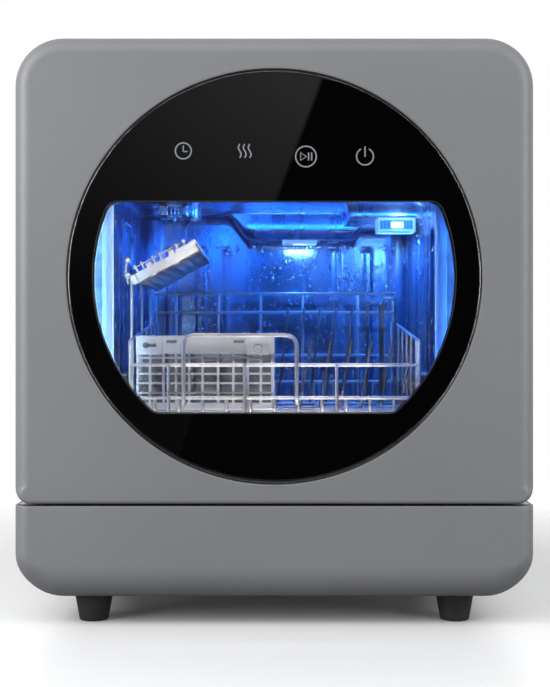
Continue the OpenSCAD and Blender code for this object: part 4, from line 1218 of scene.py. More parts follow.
def make_rack_front():
    """Two wires round the front and three uprights hooked under the floor."""
    bm = bmesh.new()
    for z in (RACK_Z + 43.8, RACK_Z + 15):
        tube(bm, bend([(-RACK_X, RACK_FRONT + 16, z), (-RACK_X, RACK_FRONT, z), (RACK_X, RACK_FRONT, z),
                       (RACK_X, RACK_FRONT + 16, z)], 6), WIRE)
    for x in (-92.8, -26.0, 54.5):
        tube(bm, bend([(x, POST_Y + 0.3, RACK_Z + 44.4), (x, POST_Y + 0.3, RACK_Z - 0.4),
                       (x, POST_Y + 26, RACK_Z - 0.4)], 5), WIRE)
    add_piece("rack_front_wires", bm, "rack", "rack_steel", ["rack_front"])


def make_rack_back():
    """Five wires across the back and their uprights."""
    bm = bmesh.new()
    for z in (RACK_Z + 2.56, RACK_Z + 22, RACK_Z + 50, RACK_Z + 95.8, RACK_Z + 115.8):
        tube(bm, bend([(-RACK_X, RACK_BACK - 14, z), (-RACK_X, RACK_BACK, z), (RACK_X, RACK_BACK, z),
                       (RACK_X, RACK_BACK - 14, z)], 6), WIRE)
    for x in (-105.0, -60.0, -15.0, 30.0, 89.0):
        tube(bm, [(x, RACK_BACK + 2.2, RACK_Z), (x, RACK_BACK + 2.2, RACK_Z + 115)], WIRE)
    add_piece("rack_back_wires", bm, "rack", "rack_steel", ["rack_back"])


def make_rack_sides():
    """Side grids with the sloping top rail, and the posts that carry the cup shelf."""
    bm = bmesh.new()
    front_top, back_top = RIM_SLOPE
    for side in (-1, 1):
        x = side * RACK_X
        tube(bm, bend([(x, RACK_FRONT + 1.5, RACK_Z), (x, RACK_FRONT + 1.5, front_top),
                       (x, RACK_BACK, back_top), (x, RACK_BACK, RACK_Z + 115)], 8), WIRE)
        tube(bm, [(x, RACK_FRONT, 194), (x, RACK_BACK, 194)], WIRE)
        for i in range(7):
            y = -117.5 + GRID_STEP * i
            top = front_top + (back_top - front_top) * (y - RACK_FRONT) / (RACK_BACK - RACK_FRONT)
            tube(bm, [(x - side * 2.4, y, RACK_Z), (x - side * 2.4, y, top)], THIN_WIRE, 8)
    for y in SHELF_POSTS:
        tube(bm, [(-RACK_X, y, RACK_Z), (-RACK_X, y, SHELF_ROD[1])], WIRE)
    add_piece("rack_side_wires", bm, "rack", "rack_steel", ["rack_sides"])


def make_rack_tines():
    """Two rows of leaning tines and the two tall loops at the end of the rear row."""
    bm = bmesh.new()
    near, far = TINE_ROWS
    for y, count, first, pitch, lean, tall in ((near, 6, 22, 18.5, 11.5, 65), (far, 5, 3, 16, 11, 98)):
        for i in range(count):
            x = first + pitch * i
            tube(bm, [(x, y, RACK_Z), (x + lean, y, RACK_Z + tall)], THIN_WIRE)
    for x0, x1, tall in ((93, 106, 104), (108.6, 121.2, 108)):
        top = RACK_Z + tall
        path = bend([(x0, far, RACK_Z), (x0, far, top), (x1, far, top), (x1, far, RACK_Z)], 6, 8)
        tube(bm, path, THIN_WIRE)
    # the tines take a darker copy of the rack steel, painted shade
    add_piece("rack_tine_wires", bm, "rack", "rack_steel", ["rack_tines"], material="tine_steel_painted_shade")


def make_rack_handle():
    """Thick wire bow in front of the rack, turned in at its feet."""
    bm = bmesh.new()
    y, foot, top = POST_Y, RACK_Z + 9, RACK_Z + 70
    left, right = -79.5, 19.6
    path = bend([(left, y + 18, foot), (left, y, foot), (left, y, top),
                 (right, y, top), (right, y, foot), (right, y + 18, foot)], 11, 9)
    tube(bm, path, 1.9, 12)
    add_piece("rack_handle_wire", bm, "rack", "rack_steel", ["rack_handle"])


def make_glides():
    """Plastic runners: two round-edged rails with a thinner web between them."""
    _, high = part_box("rack_glides")
    half = high.x / MM
    bm = bmesh.new()
    for side in (-1, 1):
        for y in GLIDE_YS:
            x0, x1 = sorted((side * (RACK_X + 0.8), side * half))
            soft_box(bm, (x0, y, 187), (x1, y + 24, 192.6), 1.6, 4)
            soft_box(bm, (x0, y, 195.4), (x1, y + 24, 201), 1.6, 4)
            soft_box(bm, (x0 + 0.6, y + 3, 190), (x1 - 0.6, y + 21, 198), 1.0, 3)
    add_piece("glide_runners", bm, "rack", "grey_plastic", ["rack_glides"])


# ---- cup shelf ----

SHELF_TILT = -28
SHELF_YS = (-111.04, 67.96)
SHELF_DEEP = 8.5
SHELF_WIDE = 68.0
SLEEVE_YS = (-94.04, -64.04, 17.96)


def shelf_matrix():
    """Turns shelf places, measured from its rod, to their tilted place."""
    tilt = Matrix.Rotation(math.radians(SHELF_TILT), 4, "Y")
    return Matrix.Translation((SHELF_ROD[0], 0, SHELF_ROD[1])) @ tilt


def clipped_diagonals(x0, x1, y0, y1, pitch):
    """Line pieces at 45 degrees in both directions, cut to a rectangle."""
    lines = []
    reach = (x1 - x0) + (y1 - y0)
    offset = pitch / 2
    while offset < reach:
        start = (min(x1, x0 + offset), y0 + max(0, offset - (x1 - x0)))
        end = (x0 + max(0, offset - (y1 - y0)), min(y1, y0 + offset))
        lines.append((start, end))
        lines.append(((x0 + x1 - start[0], start[1]), (x0 + x1 - end[0], end[1])))
        offset += pitch
    return lines


def bar(bm, start, end, width, z0, z1):
    """A flat upright rib between two points seen from above."""
    ahead = (Vector(end) - Vector(start)).normalized()
    side = Vector((-ahead.y, ahead.x)) * width / 2
    corners = [Vector(start) + side, Vector(start) - side, Vector(end) - side, Vector(end) + side]
    loft(bm, [[Vector((p.x, p.y, z)) for p in corners] for z in (z0, z1)])


def make_cup_shelf():
    """Tilted tray: rim, crossed ribs, front clips, cup rests and the sleeves round its rod."""
    (y0, y1), deep, wide = SHELF_YS, SHELF_DEEP, SHELF_WIDE
    bm = bmesh.new()
    wall = 2.6
    soft_box(bm, (1.2, y0, -deep), (wide, y0 + wall, 0), 0.7)
    soft_box(bm, (5.5, y1 - wall, -deep), (wide, y1, 0), 0.7)
    soft_box(bm, (5.5, y0, -deep), (5.5 + wall, y1, 0), 0.7)
    soft_box(bm, (wide - wall, y0, -deep), (wide, y1, 0), 0.7)
    for start, end in clipped_diagonals(7, wide - 1.5, y0 + 1.5, y1 - 1.5, 17):
        bar(bm, start, end, 2.4, -deep + 0.2, -deep + 3.6)
    soft_box(bm, (7, y0 + 6, 4.6), (60, y0 + 7.6, 6.2), 0.5)
    for x in (9, 15.5, 26.5, 33, 49.5, 57):
        soft_box(bm, (x, y0 + 3, -2), (x + 1.8, y0 + 8.4, 7.4), 0.5)
    for x in (19, 41.5):
        soft_box(bm, (x, y0 - 0.2, -9.4), (x + 5.5, y0 + 5, 3.4), 0.7)
    soft_box(bm, (48, y0 - 0.2, -1.5), (wide - 0.5, y0 + 5, 1.6), 0.6)
    for i in range(6):
        y = y0 + 18 + 26 * i
        soft_box(bm, (wide - 7, y, -2), (wide - 0.2, y + 12, 4.5), 0.8)
        soft_box(bm, (22, y + 3, -5), (58, y + 5.4, -1.0), 0.6)
        soft_box(bm, (40, y - 7, -4.5), (46, y + 7, 2.6), 0.7)
    for y in SLEEVE_YS:
        sleeve = [(1.6, y), (2.9, y), (3.4, y + 0.5), (3.4, y + 29.5), (2.9, y + 30), (1.6, y + 30)]
        lathe(bm, sleeve, (0, 0, 0), "Y", 28, wrap=True)
        soft_box(bm, (2.2, y + 1, -3.3), (7, y + 29, -0.2), 0.5)
    tilted = shelf_matrix()
    for vert in bm.verts:
        vert.co = tilted @ vert.co
    add_piece("cup_shelf_tray", bm, "shelf", "grey_plastic", ["cup_shelf"], material="shelf_plastic")


def make_shelf_rod():
    """Rod of the cup shelf with the hook and its two beads at the front end."""
    x, z = SHELF_ROD
    bm = bmesh.new()
    tube(bm, [(x, -116.04, z), (x, 69.96, z)], 1.5)
    tube(bm, bend([(x + 0.6, -114.5, z - 6), (x - 1.6, -115.4, z + 2), (x - 0.2, -115.2, z + 17)], 3), 1.2)
    pearl = [(0.8, -3.2), (2.3, -2.4), (3.1, -0.9), (3.1, 0.9), (2.3, 2.4), (0.8, 3.2)]
    for high in (1, 15):
        lathe(bm, pearl, (x, -116, z + high), "X", 20)
    add_piece("shelf_hook_rod", bm, "rack", "rack_steel", ["shelf_rod"])


# ---- cutlery basket ----

BASKET = [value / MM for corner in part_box("basket_walls") for value in corner]
BASKET_WALL = 2.2
BASKET_BAND = BASKET[5] - 16
BASKET_FRONT = BASKET[1] - 0.9
KEYHOLE = (BASKET[0] + 9, 0, BASKET[5] - 8.5)
BUTTON = (BASKET[3] - 14.4, 0, BASKET[5] - 11.2)


def basket_long_wall(bm, y):
    """Lattice of a long wall between its top band and foot band."""
    x0, _, z0, x1, _, z1 = BASKET
    far = y + BASKET_WALL
    soft_box(bm, (x0, y, BASKET_BAND), (x1, far, z1), 0.7, 3)
    soft_box(bm, (x0, y, z0), (x1, far, z0 + 6), 0.7, 3)
    for reach in (1.6, 12.5, 24.4, 35.4, 47, 58.8, 72.3, 85.8, 98.5, 110, x1 - x0 - 2):
        x = x0 + reach
        soft_box(bm, (x - 1.1, y + 0.1, z0 + 3), (x + 1.1, far - 0.1, BASKET_BAND + 3), 0.4)
    for z in (z0 + 14.5, z0 + 23.2, z0 + 31.5, z0 + 40, z0 + 45.4):
        soft_box(bm, (x0 + 1, y + 0.25, z - 0.9), (x1 - 1, far - 0.25, z + 0.9), 0.35)


def basket_end_wall(bm, x):
    """Lattice of an end wall between its top band and foot band."""
    _, y0, z0, _, y1, z1 = BASKET
    far = x + BASKET_WALL
    near_y, far_y = y0 + BASKET_WALL - 0.4, y1 - BASKET_WALL + 0.4
    soft_box(bm, (x, near_y, BASKET_BAND), (far, far_y, z1), 0.7, 3)
    soft_box(bm, (x, near_y, z0), (far, far_y, z0 + 6), 0.7, 3)
    for share in (0.2, 0.4, 0.6, 0.8):
        y = y0 + (y1 - y0) * share
        soft_box(bm, (x + 0.1, y - 1.4, z0 + 3), (far - 0.1, y + 1.4, BASKET_BAND + 3), 0.4)
    for z in (z0 + 14.5, z0 + 24, z0 + 33):
        soft_box(bm, (x + 0.2, y0 + 1, z - 1), (far - 0.2, y1 - 1, z + 1), 0.35)


def basket_floor(bm):
    """Crossed bars of the basket's floor."""
    x0, y0, z0, x1, y1, _ = BASKET
    low, high = z0 + 0.1, z0 + 2.2
    for i in range(13):
        x = x0 + 1.5 + (x1 - x0 - 3) * i / 12
        soft_box(bm, (x - 1, y0 + 1, low), (x + 1, y1 - 1, high), 0.4)
    for i in range(8):
        y = y0 + 1.5 + (y1 - y0 - 3) * i / 7
        soft_box(bm, (x0 + 1, y - 1, low), (x1 - 1, y + 1, high), 0.4)


def make_basket():
    """Lattice walls and floor, the back wall and floor in a darker plastic of painted shade, with the key
    plate, the button and near-black fills of painted shade in the slots of the front band.
    """
    x0, y0, _, x1, y1, z1 = BASKET
    front, plate_z = BASKET_FRONT, BASKET_BAND - 0.5
    lattice, behind = bmesh.new(), bmesh.new()
    basket_long_wall(lattice, y0)
    basket_long_wall(behind, y1 - BASKET_WALL)
    for x in (x0, x1 - BASKET_WALL):
        basket_end_wall(lattice, x)
    basket_floor(behind)
    # back wall and floor in near-black plastic, painted shade inside the basket
    add_piece("basket_back_lattice", behind, "basket", "grey_plastic", material="basket_painted_shade_plastic")
    soft_box(lattice, (x1 - 24.6, front, plate_z), (x1 - 4.2, y0 + 1, z1 - 0.8), 0.6, 3)
    add_piece("basket_lattice", lattice, "basket", "grey_plastic", ["basket_walls"])
    bm = bmesh.new()
    soft_box(bm, (x0 + 0.3, front, plate_z), (x0 + 24, y0 + 0.9, z1 - 0.8), 0.6, 3)
    plate = add_piece("basket_key_plate", bm, "basket", "grey_plastic")
    cutters = bmesh.new()
    lathe(cutters, [(2.9, front - OVER), (2.9, front + 1.2)], KEYHOLE, "Y", 24)
    cut(plate, cutters)
    cut_box(plate, x0 + 9, x0 + 18, front - OVER, front + 1.2, z1 - 10, z1 - 7)
    bm = bmesh.new()
    knob = [(3.6, front + 0.2), (3.6, front - 0.3), (3.1, front - 0.7), (1.6, front - 0.9),
            (1.2, front - 0.5), (0.4, front - 0.4)]
    lathe(bm, knob, BUTTON, "Y", 28)
    add_piece("basket_button", bm, "basket", "grey_plastic")
    # near-black fills in the keyhole, the slots and round the button: painted shade
    bm = bmesh.new()
    proud = front - 0.06
    lathe(bm, [(2.8, front + 0.5), (2.8, proud), (0.5, proud)], KEYHOLE, "Y", 24)
    for left, right, low, high in ((x0 + 9, x0 + 18, z1 - 10, z1 - 7.2),
                                   (x0 + 27, x0 + 36, z1 - 6.4, z1 - 4),
                                   (x1 - 36, x1 - 27, z1 - 6.4, z1 - 4)):
        soft_box(bm, (left, proud, low), (right, y0 + 0.4, high), 0.3)
    ring = [(4.0, front + 0.2), (4.0, front - 0.04), (3.5, front - 0.04), (3.5, front + 0.2)]
    lathe(bm, ring, BUTTON, "Y", 28, wrap=True)
    add_piece("basket_slot_shade_fills", bm, "basket", "dark_plastic", material="slot_painted_shade_plastic")


# ---- wash parts ----


def make_spray_arm():
    """Arm that swells to its hub, with raised jets along both wings."""
    low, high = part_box("spray_arm")
    x1, y0, y1, z0, z1 = high.x / MM, low.y / MM, high.y / MM, low.z / MM, high.z / MM
    cy = (y0 + y1) / 2
    bm = bmesh.new()
    rings = []
    turns = [2 * math.pi * side / 20 for side in range(20)]
    for i in range(41):
        x = -x1 + 2 * x1 * i / 40
        share = abs(x) / x1
        end = math.sqrt(max(0.002, 1 - max(0, (share - 0.9) / 0.1) ** 2))
        half = (15 - 6 * share) * end
        tall = (4.0 - 0.6 * share) * end
        rings.append([Vector((x, cy + math.cos(turn) * half, z0 + 6 + math.sin(turn) * tall))
                      for turn in turns])
    loft(bm, rings)
    jet = [(0.9, z0 + 5), (3.6, z0 + 5), (3.4, z0 + 9.6), (2.4, z0 + 10.4), (1.2, z0 + 10.4),
           (0.9, z0 + 9.8)]
    first_jet, jet_pitch = 34, 20
    for side in (-1, 1):
        for i in range(4):
            lathe(bm, jet, (side * (first_jet + jet_pitch * i), cy + 2.5, 0), "Z", 18, wrap=True)
    hub = [(9, z0), (17, z0), (19.6, z0 + 1.2), (20, z0 + 3), (20, z1 - 4), (18.6, z1 - 1.2), (16, z1),
           (9, z1)]
    lathe(bm, hub, (0, cy, 0), "Z", 48, wrap=True)
    add_piece("spray_arm_wings", bm, "arm", NODE_SLOT["spray_arm"], ["spray_arm"])


# ---- back and top ----

REAR = 200.0
SPIGOT_X = 120.0
SPIGOT_Z = 145.0
SPIGOT_END = 214
HOOD_ROOT = REAR - 0.2
HOOD_SECTION = ((0, 1.6), (2.8, 1.2), (4.6, -0.4), (5.2, -3.4), (4.4, -3.4), (3.8, -0.8), (2.4, 0.4),
                (0, 0.7))
HOOD_ENDS = ((-1, 0.35), (-0.4, 0.8), (1.5, 1), (118.5, 1), (120.4, 0.8), (121, 0.35))
SLOT_COLUMNS = (-140, 10)
SLOT_ROWS = 12
SLOT_PITCH = 13
TOP_SLOT_Z = 403
SCREW_R = 3.4
SOLE_X = 151
SOLE_Y = 170


def make_louvres():
    """Pressed hoods over the slots of the rear panel."""
    bm = bmesh.new()
    for x0 in SLOT_COLUMNS:
        for row in range(SLOT_ROWS):
            top = TOP_SLOT_Z - SLOT_PITCH * row
            loft(bm, [
                [Vector((x0 + along, HOOD_ROOT + out * reach, top + up)) for out, up in HOOD_SECTION]
                for along, reach in HOOD_ENDS
            ])
    add_piece("rear_louvres", bm, "cabinet", "rear_paint")


def make_screws():
    """Cross-head screws of the rear panel and plain ones in the feet."""
    _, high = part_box("screws")
    x1, top = high.x / MM, high.z / MM - SCREW_R
    rear_screw = [(0.4, REAR - 7.5), (1.5, REAR - 7.5), (1.5, REAR), (SCREW_R, REAR), (3.3, REAR + 0.8),
                  (2.7, REAR + 1.6), (1.5, REAR + 1.95), (0.4, REAR + 2)]
    foot_screw = [(0.4, 12), (4.2, 12), (4.5, 12.4), (4.5, 15), (2, 15), (2, 31.4), (0.4, 31.4)]
    bm, marks = bmesh.new(), bmesh.new()
    for side in (-1, 1):
        x = side * (x1 - SCREW_R)
        for z in (top - 255, top):
            lathe(bm, rear_screw, (x, 0, z), "Y", 24)
            for a, b in ((2.1, 0.45), (0.45, 2.1)):
                soft_box(marks, (x - a, REAR + 1.2, z - b), (x + a, REAR + 2, z + b), 0.1)
        for y in (-SOLE_Y, SOLE_Y):
            lathe(bm, foot_screw, (side * SOLE_X, y, 0), "Z", 24)
    add_piece("screw_bodies", bm, "cabinet", "zinc_steel", ["screws"], angle=45)
    add_piece("screw_crosses", marks, "cabinet", "foot_rubber")


def make_spigots():
    """Threaded water inlet and barbed drain outlet, each with its block behind the rear panel."""
    bm = bmesh.new()
    x, z = -SPIGOT_X, SPIGOT_Z
    end = SPIGOT_END
    profile = [(9.2, 190), (9.2, end - 0.6), (9.8, end), (12.2, end)]
    for turn in range(8):
        y = end - 0.6 - 1.5 * turn
        profile += [(12.3, y), (13.2, y - 0.5), (13.2, y - 0.8), (12.3, y - 1.3)]
    profile += [(12.6, REAR + 0.2), (16, REAR), (16, 198.4), (18.2, 198.4), (18.2, 194.5), (15, 194.5),
                (15, 174), (1, 174), (1, 190)]
    lathe(bm, profile, (x, 0, z), "Y", 40, wrap=True)
    soft_box(bm, (x - 18, 154.6, z - 18), (x + 18, 174.5, z + 18), 2, 3)
    add_piece("inlet_thread", bm, "cabinet", NODE_SLOT["inlet_spigot"], ["inlet_spigot"])
    bm = bmesh.new()
    x = SPIGOT_X
    profile = [(6.5, 190), (6.5, end - 0.4), (6.9, end), (7.6, end)]
    for barb in range(3):
        y = end - 0.8 - 3.6 * barb
        profile += [(8.9, y - 2.2), (9, y - 2.9), (7.7, y - 3.1)]
    profile += [(7.7, REAR + 0.6), (11, REAR + 0.2), (11, 198.4), (14, 198.4), (14, 194.5), (10, 194.5),
                (10, 178), (1, 178), (1, 190)]
    lathe(bm, profile, (x, 0, z), "Y", 36, wrap=True)
    soft_box(bm, (x - 14, 160.6, z - 13), (x + 30, 178.5, z + 13), 2, 3)
    add_piece("drain_barb", bm, "cabinet", NODE_SLOT["drain_spigot"], ["drain_spigot"])


def make_socket():
    """Sunk mains socket with three flat pins."""
    bm = bmesh.new()
    rings = []
    face = REAR + 2.5
    for half_x, half_z, radius, y in (
            (24, 13, 2, 176.6), (24, 13, 2, REAR), (30, 17, 4, REAR), (30, 17, 4, REAR + 1.8),
            (29, 16, 3.4, face), (14.4, 10.8, 3, face), (13.5, 10, 3, REAR + 1.6), (13.5, 10, 3, 183)):
        ring = rounded_rect(-half_x, SPIGOT_Z - half_z, half_x, SPIGOT_Z + half_z, (radius,) * 4, 6, 4)
        rings.append([Vector((p.x, y, p.y)) for p, _ in ring])
    loft(bm, rings)
    screw = [(0.3, REAR + 2), (2, REAR + 2), (2, REAR + 2.45), (0.3, REAR + 2.48)]
    for x in (-27, 27):
        lathe(bm, screw, (x, 0, SPIGOT_Z), "Y", 16)
    add_piece("socket_shell", bm, "cabinet", NODE_SLOT["power_socket"], ["power_socket"])
    bm = bmesh.new()
    for x, z in ((-7, -2), (7, -2), (0, 2.5)):
        soft_box(bm, (x - 1, 182.6, SPIGOT_Z + z - 2.2), (x + 1, 197, SPIGOT_Z + z + 2.2), 0.4)
    add_piece("socket_pins", bm, "cabinet", "bright_steel")


def make_fill_lid():
    """Flap over the tank filler with a thumb hollow, grip ribs and two hinge knuckles."""
    low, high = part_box("fill_lid")
    x0, y0, z0 = (value / MM for value in low)
    x1, y1, z1 = (value / MM for value in high)
    hollow_r, pin = 9, 4
    bm = bmesh.new()
    soft_box(bm, (x0, y0, z0), (x1, y1 - 5, z1), 1.4, 4)
    lid = add_piece("fill_flap", bm, "lid", NODE_SLOT["fill_lid"], ["fill_lid"])
    center = (x0 + x1) / 2
    cutters = bmesh.new()
    lathe(cutters, [(hollow_r, z1 - 10), (hollow_r, z1 + 2)], (center, y0, 0), "Z", 40)
    cut(lid, cutters)
    bm = bmesh.new()
    for x in (center - 35, center + 35):
        left, right = x - 9.8, x + 9.8
        knuckle = [(1.7, left), (3.4, left), (3.9, left + 0.5), (3.9, right - 0.5), (3.4, right),
                   (1.7, right)]
        lathe(bm, knuckle, (0, y1 - pin, z1 - pin), "X", 32, wrap=True)
    for rib in range(5):
        x = center - 26 + 12 * rib
        soft_box(bm, (x, y0 + 22, z1 - 0.5), (x + 4, y1 - 18, z1 - 0.05), 0.2)
    add_piece("fill_flap_knuckles", bm, "lid", NODE_SLOT["fill_lid"])


# ---- lamps in the tub ----

BLUE = (0.02, 0.21, 1.0)
CYAN = (0.35, 0.75, 1.0)
SPARK = (0.4, 0.8, 1.0)
ICE = (0.55, 0.8, 1.0)
DEEP_BLUE = (0.08, 0.3, 1.0)
PALE = (1.0, 0.97, 0.94)
# name, place, what it faces, size, share of the lamp power, colour, spread in degrees
TUB_LAMPS = (
    ("tub_lamp_side", (118, 0, 336), (112, 45, 230), (34, 18), 1.1, BLUE, 180),
    ("tub_lamp_back", (27, 118, 334.5), (20, 128, 230), (34, 18), 0.6, BLUE, 180),
    ("tub_lamp_left", (-60, -50, 350), (-130, 70, 230), (40, 20), 0.4, BLUE, 150),
    ("ceiling_glow", (30, 60, 350), (30, 88, 366), (120, 4), 0.05, BLUE, 150),
    ("step_glow", (110, -34, 343), (110, -14, 353), (70, 4), 0.03, BLUE, 150),
    ("step_spark", (120, -26, 347), (120, -14, 352), (14, 4), 0.03, SPARK, 150),
    ("tub_glow_side", (118, -2, 335), (140, 150, 325), (30, 10), 0.12, CYAN, 180),
    ("tub_glow_back", (27, 126, 334), (32, 150, 318), (30, 10), 0.06, CYAN, 180),
    ("rack_glow_top", (0, -164, 352), (0, -118, 200), (220, 10), 0.24, PALE, 75),
    ("rack_glow_low", (0, -166, 124), (0, -114, 215), (220, 10), 0.24, PALE, 75),
    ("shelf_glow", (-60, -150, 345), (-105, -95, 290), (60, 10), 0.05, PALE, 90),
    ("flange_glow_left", (-118, -176.5, 240), (-135, -170.6, 240), (10, 180), 0.75, ICE, 160),
    ("flange_glow_right", (118, -176.5, 240), (135, -170.6, 240), (10, 180), 0.16, DEEP_BLUE, 160),
)


def make_tub_lamps():
    """Blue lamps of the tub and its mouth, and pale narrow ones for the rack and the shelf."""
    power = bpy.context.scene.dishwasher_stage.tub_lamp_power
    for name, place, aim, size, share, color, spread in TUB_LAMPS:
        lamp = make_area_lamp(name, Vector(place) * MM, Vector(aim) * MM,
                              (size[0] * MM, size[1] * MM), power * share, color, spread)
        lamp.visible_camera = False
        lamp.visible_transmission = False


# ---- stage ----

CAMERA_X = 0.56
FLOOR_HALF = 2.0
CARD_HALF_W = 0.62
CARD_HALF_H = 0.455
CARD_Z = 0.46
# name, place and aim in metres, share of the softbox power and size in metres
SOFTBOXES = (
    ("softbox_left", (-1.2, -0.95, 0.75), (-0.05, -0.15, 0.28), 1.45, (0.6, 1.2)),
    ("softbox_right", (1.25, -0.95, 0.7), (0.05, -0.15, 0.25), 0.8, (0.6, 1.2)),
    ("softbox_top", (-0.1, -1.1, 1.35), (0, -0.1, 0.25), 0.25, (1.1, 0.6)),
)


def make_camera(settings):
    """Level camera that looks straight at the front."""
    data = bpy.data.cameras.new("camera")
    data.sensor_fit = "VERTICAL"
    data.sensor_height = 36
    data.lens = data.sensor_height * settings.camera_distance / settings.picture_height
    camera = link_object("camera", data)
    camera.location = (CAMERA_X * MM, FRONT_Y * MM - settings.camera_distance, settings.camera_height)
    camera.rotation_euler = (math.radians(90), 0, 0)
    bpy.context.scene.camera = camera


def make_area_lamp(name, place, aim, size, power, color=(1, 1, 1), spread=180):
    data = bpy.data.lights.new(name, "AREA")
    data.shape = "RECTANGLE"
    data.size, data.size_y = size
    data.energy = power
    data.color = color
    data.spread = math.radians(spread)
    lamp = link_object(name, data)
    lamp.location = place
    lamp.rotation_euler = (Vector(aim) - Vector(place)).to_track_quat("-Z", "Y").to_euler()
    return lamp


def make_world():
    """White for what the camera, metal and glass see, and a softer fill for everything else."""
    world = bpy.data.worlds.new("studio")
    bpy.context.scene.world = world
    world.use_nodes = True
    tree = world.node_tree
    tree.nodes.clear()
    output = tree.nodes.new("ShaderNodeOutputWorld")
    seen = tree.nodes.new("ShaderNodeBackground")
    set_inputs(seen, {"Color": (1, 1, 1, 1)})
    fill = tree.nodes.new("ShaderNodeBackground")
    strength = bpy.context.scene.dishwasher_stage.fill_strength
    set_inputs(fill, {"Color": (0.97, 0.98, 1.0, 1), "Strength": strength})
    path = tree.nodes.new("ShaderNodeLightPath").outputs
    mirrored = math_node(tree, "MAXIMUM", path["Is Camera Ray"], path["Is Glossy Ray"])
    direct = math_node(tree, "MAXIMUM", mirrored, path["Is Transmission Ray"])
    surface_between(tree, direct, fill.outputs["Background"], seen.outputs["Background"], output)


def object_axes(tree):
    """The X, Y and Z outputs of the position on the object, in metres."""
    split = tree.nodes.new("ShaderNodeSeparateXYZ")
    tree.links.new(place_coords(tree), split.inputs["Vector"])
    return split.outputs


def make_floor():
    """Pale floor that keeps the shadow of the object and fades into the white round it."""
    bm = bmesh.new()
    bmesh.ops.create_grid(bm, x_segments=12, y_segments=12, size=FLOOR_HALF)
    mesh = bpy.data.meshes.new("floor")
    bm.to_mesh(mesh)
    bm.free()
    floor = link_object("floor", mesh)
    material, tree, output = empty_material("floor")
    shader = tree.nodes.new("ShaderNodeBsdfPrincipled")
    camera = tree.nodes.new("ShaderNodeLightPath").outputs["Is Camera Ray"]
    base_between(tree, shader, camera, (0.3, 0.3, 0.305), (0.93, 0.93, 0.935))
    set_inputs(shader, {"Roughness": 0.3, "Specular IOR Level": 0.3})
    length = tree.nodes.new("ShaderNodeVectorMath")
    length.operation = "LENGTH"
    tree.links.new(place_coords(tree, (1.0, 0.9, 1.0)), length.inputs[0])
    fade = math_node(tree, "MULTIPLY", remap(tree, length.outputs["Value"], 0, 1, 0.34, 0.62), camera)
    clear = tree.nodes.new("ShaderNodeBsdfTransparent")
    surface_between(tree, fade, shader.outputs["BSDF"], clear.outputs["BSDF"], output)
    mesh.materials.append(material)


def make_reflection_card(distance):
    """Two-tone card at the camera for shiny parts to mirror, split along a slanting line."""
    bm = bmesh.new()
    bmesh.ops.create_grid(bm, x_segments=4, y_segments=4, size=1.0)
    for vert in bm.verts:
        vert.co = (vert.co.x * CARD_HALF_W, 0, CARD_Z + vert.co.y * CARD_HALF_H)
    mesh = bpy.data.meshes.new("reflection_card")
    bm.to_mesh(mesh)
    bm.free()
    card = link_object("reflection_card", mesh)
    card.location = (0, FRONT_Y * MM - distance, 0)
    material, tree, output = empty_material("reflection_card")
    glow = tree.nodes.new("ShaderNodeEmission")
    axes = object_axes(tree)
    slope, split_x = 0.379, -0.1724
    edge = math_node(tree, "ADD", math_node(tree, "MULTIPLY", axes["Z"], slope), split_x)
    inside = remap(tree, math_node(tree, "SUBTRACT", edge, axes["X"]), 0, 1, -0.004, 0.004)
    left = math_node(tree, "MULTIPLY", remap(tree, axes["Z"], 0.07, 0.36, 0.3, 0.66),
                     remap(tree, axes["X"], 0.45, 1.0, -0.3, 0.05))
    level = math_node(tree, "MAXIMUM", math_node(tree, "MULTIPLY", inside, left), 0.02)
    tree.links.new(level, glow.inputs["Strength"])
    tree.links.new(glow.outputs["Emission"], output.inputs["Surface"])
    mesh.materials.append(material)
    card.visible_camera = False
    card.visible_diffuse = False
    card.visible_shadow = False


def make_stage():
    settings = bpy.context.scene.dishwasher_stage
    make_camera(settings)
    make_world()
    make_floor()
    make_reflection_card(settings.camera_distance)
    for name, place, aim, share, size in SOFTBOXES:
        make_area_lamp(name, place, aim, size, settings.softbox_power * share)
    bpy.context.scene.view_settings.view_transform = "Standard"


# ---- add-on ----


class DISHWASHER_OT_stage(bpy.types.Operator):
    """Add the camera, lamps, world and floor"""

    bl_idname = "dishwasher.stage"
    bl_label = "Stage"

    def execute(self, context):
        make_stage()
        return {"FINISHED"}


class DISHWASHER_OT_carried_nodes(bpy.types.Operator):
    """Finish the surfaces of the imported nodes"""

    bl_idname = "dishwasher.carried_nodes"
    bl_label = "Packed Nodes"

    def execute(self, context):
        finish_nodes()
        return {"FINISHED"}


class DISHWASHER_OT_housings(bpy.types.Operator):
    """Build the painted covers, the black strip of painted shade between them and the feet"""

    bl_idname = "dishwasher.housings"
    bl_label = "Housings and Feet"

    def execute(self, context):
        make_door_skin()
        make_cabinet_cover()
        make_base_cover()
        make_seam_shade_strip()
        make_feet()
        return {"FINISHED"}


class DISHWASHER_OT_door_inside(bpy.types.Operator):
    """Build the steel inner skin of the door with the collar and seal of its pane"""

    bl_idname = "dishwasher.door_inside"
    bl_label = "Door Inside"

    def execute(self, context):
        make_door_liner()
        return {"FINISHED"}


class DISHWASHER_OT_door_glass(bpy.types.Operator):
    """Build the round glass with its print and signs"""

    bl_idname = "dishwasher.door_glass"
    bl_label = "Door Glass"

    def execute(self, context):
        make_glass()
        make_print()
        make_icons()
        return {"FINISHED"}


class DISHWASHER_OT_tub(bpy.types.Operator):
    """Build the pressed tub with its mouth"""

    bl_idname = "dishwasher.tub"
    bl_label = "Tub"

    def execute(self, context):
        make_tub()
        make_tub_lamps()
        return {"FINISHED"}


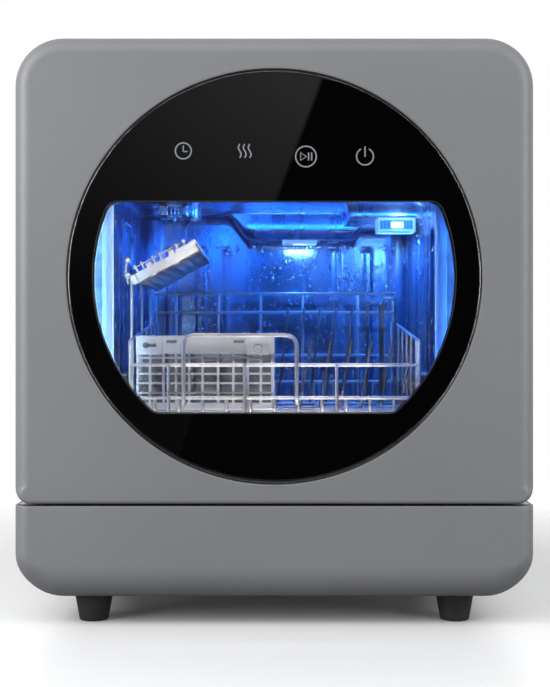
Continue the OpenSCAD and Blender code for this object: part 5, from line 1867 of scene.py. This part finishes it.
class DISHWASHER_OT_fittings(bpy.types.Operator):
    """Build the lamp housings, the ceiling sprayer and the drops of water on the walls"""

    bl_idname = "dishwasher.fittings"
    bl_label = "Tub Fittings"

    def execute(self, context):
        make_lamp_fittings()
        make_sprayer()
        make_droplets(bpy.data.objects["tub_liner"])
        return {"FINISHED"}


class DISHWASHER_OT_outer_fittings(bpy.types.Operator):
    """Build the louvres, screws, spigots and socket of the back and the filler flap of the top"""

    bl_idname = "dishwasher.outer_fittings"
    bl_label = "Back and Top"

    def execute(self, context):
        make_louvres()
        make_screws()
        make_spigots()
        make_socket()
        make_fill_lid()
        return {"FINISHED"}


class DISHWASHER_OT_wash_parts(bpy.types.Operator):
    """Build the spray arm"""

    bl_idname = "dishwasher.wash_parts"
    bl_label = "Spray Arm"

    def execute(self, context):
        make_spray_arm()
        return {"FINISHED"}


class DISHWASHER_OT_rack(bpy.types.Operator):
    """Build the wires, handle and runners of the rack"""

    bl_idname = "dishwasher.rack"
    bl_label = "Rack"

    def execute(self, context):
        make_rack_floor()
        make_rack_front()
        make_rack_back()
        make_rack_sides()
        make_rack_tines()
        make_rack_handle()
        make_glides()
        return {"FINISHED"}


class DISHWASHER_OT_baskets(bpy.types.Operator):
    """Build the cup shelf with its rod and the cutlery basket"""

    bl_idname = "dishwasher.baskets"
    bl_label = "Cup Shelf and Basket"

    def execute(self, context):
        make_cup_shelf()
        make_shelf_rod()
        make_basket()
        return {"FINISHED"}


OPERATORS = (
    DISHWASHER_OT_stage,
    DISHWASHER_OT_carried_nodes,
    DISHWASHER_OT_housings,
    DISHWASHER_OT_door_glass,
    DISHWASHER_OT_door_inside,
    DISHWASHER_OT_tub,
    DISHWASHER_OT_fittings,
    DISHWASHER_OT_outer_fittings,
    DISHWASHER_OT_wash_parts,
    DISHWASHER_OT_rack,
    DISHWASHER_OT_baskets,
)


class DISHWASHER_PT_sidebar(bpy.types.Panel):
    """Lists the dishwasher's groups of pieces"""

    bl_idname = "DISHWASHER_PT_sidebar"
    bl_label = "Countertop Dishwasher"
    bl_space_type = "VIEW_3D"
    bl_region_type = "UI"
    bl_category = "Dishwasher"

    def draw(self, context):
        for operator in OPERATORS:
            self.layout.operator(operator.bl_idname)


SETTINGS = {
    "dishwasher_paint": DishwasherPaintSettings,
    "dishwasher_stage": DishwasherStageSettings,
}
CLASSES = (*SETTINGS.values(), *OPERATORS, DISHWASHER_PT_sidebar)


def register():
    for cls in CLASSES:
        bpy.utils.register_class(cls)
    for name, group in SETTINGS.items():
        setattr(bpy.types.Scene, name, bpy.props.PointerProperty(type=group))


def unregister():
    for name in SETTINGS:
        delattr(bpy.types.Scene, name)
    for cls in reversed(CLASSES):
        bpy.utils.unregister_class(cls)


def main():
    register()
    for operator in OPERATORS:
        area, action = operator.bl_idname.split(".")
        getattr(getattr(bpy.ops, area), action)()


if __name__ == "__main__":
    main()
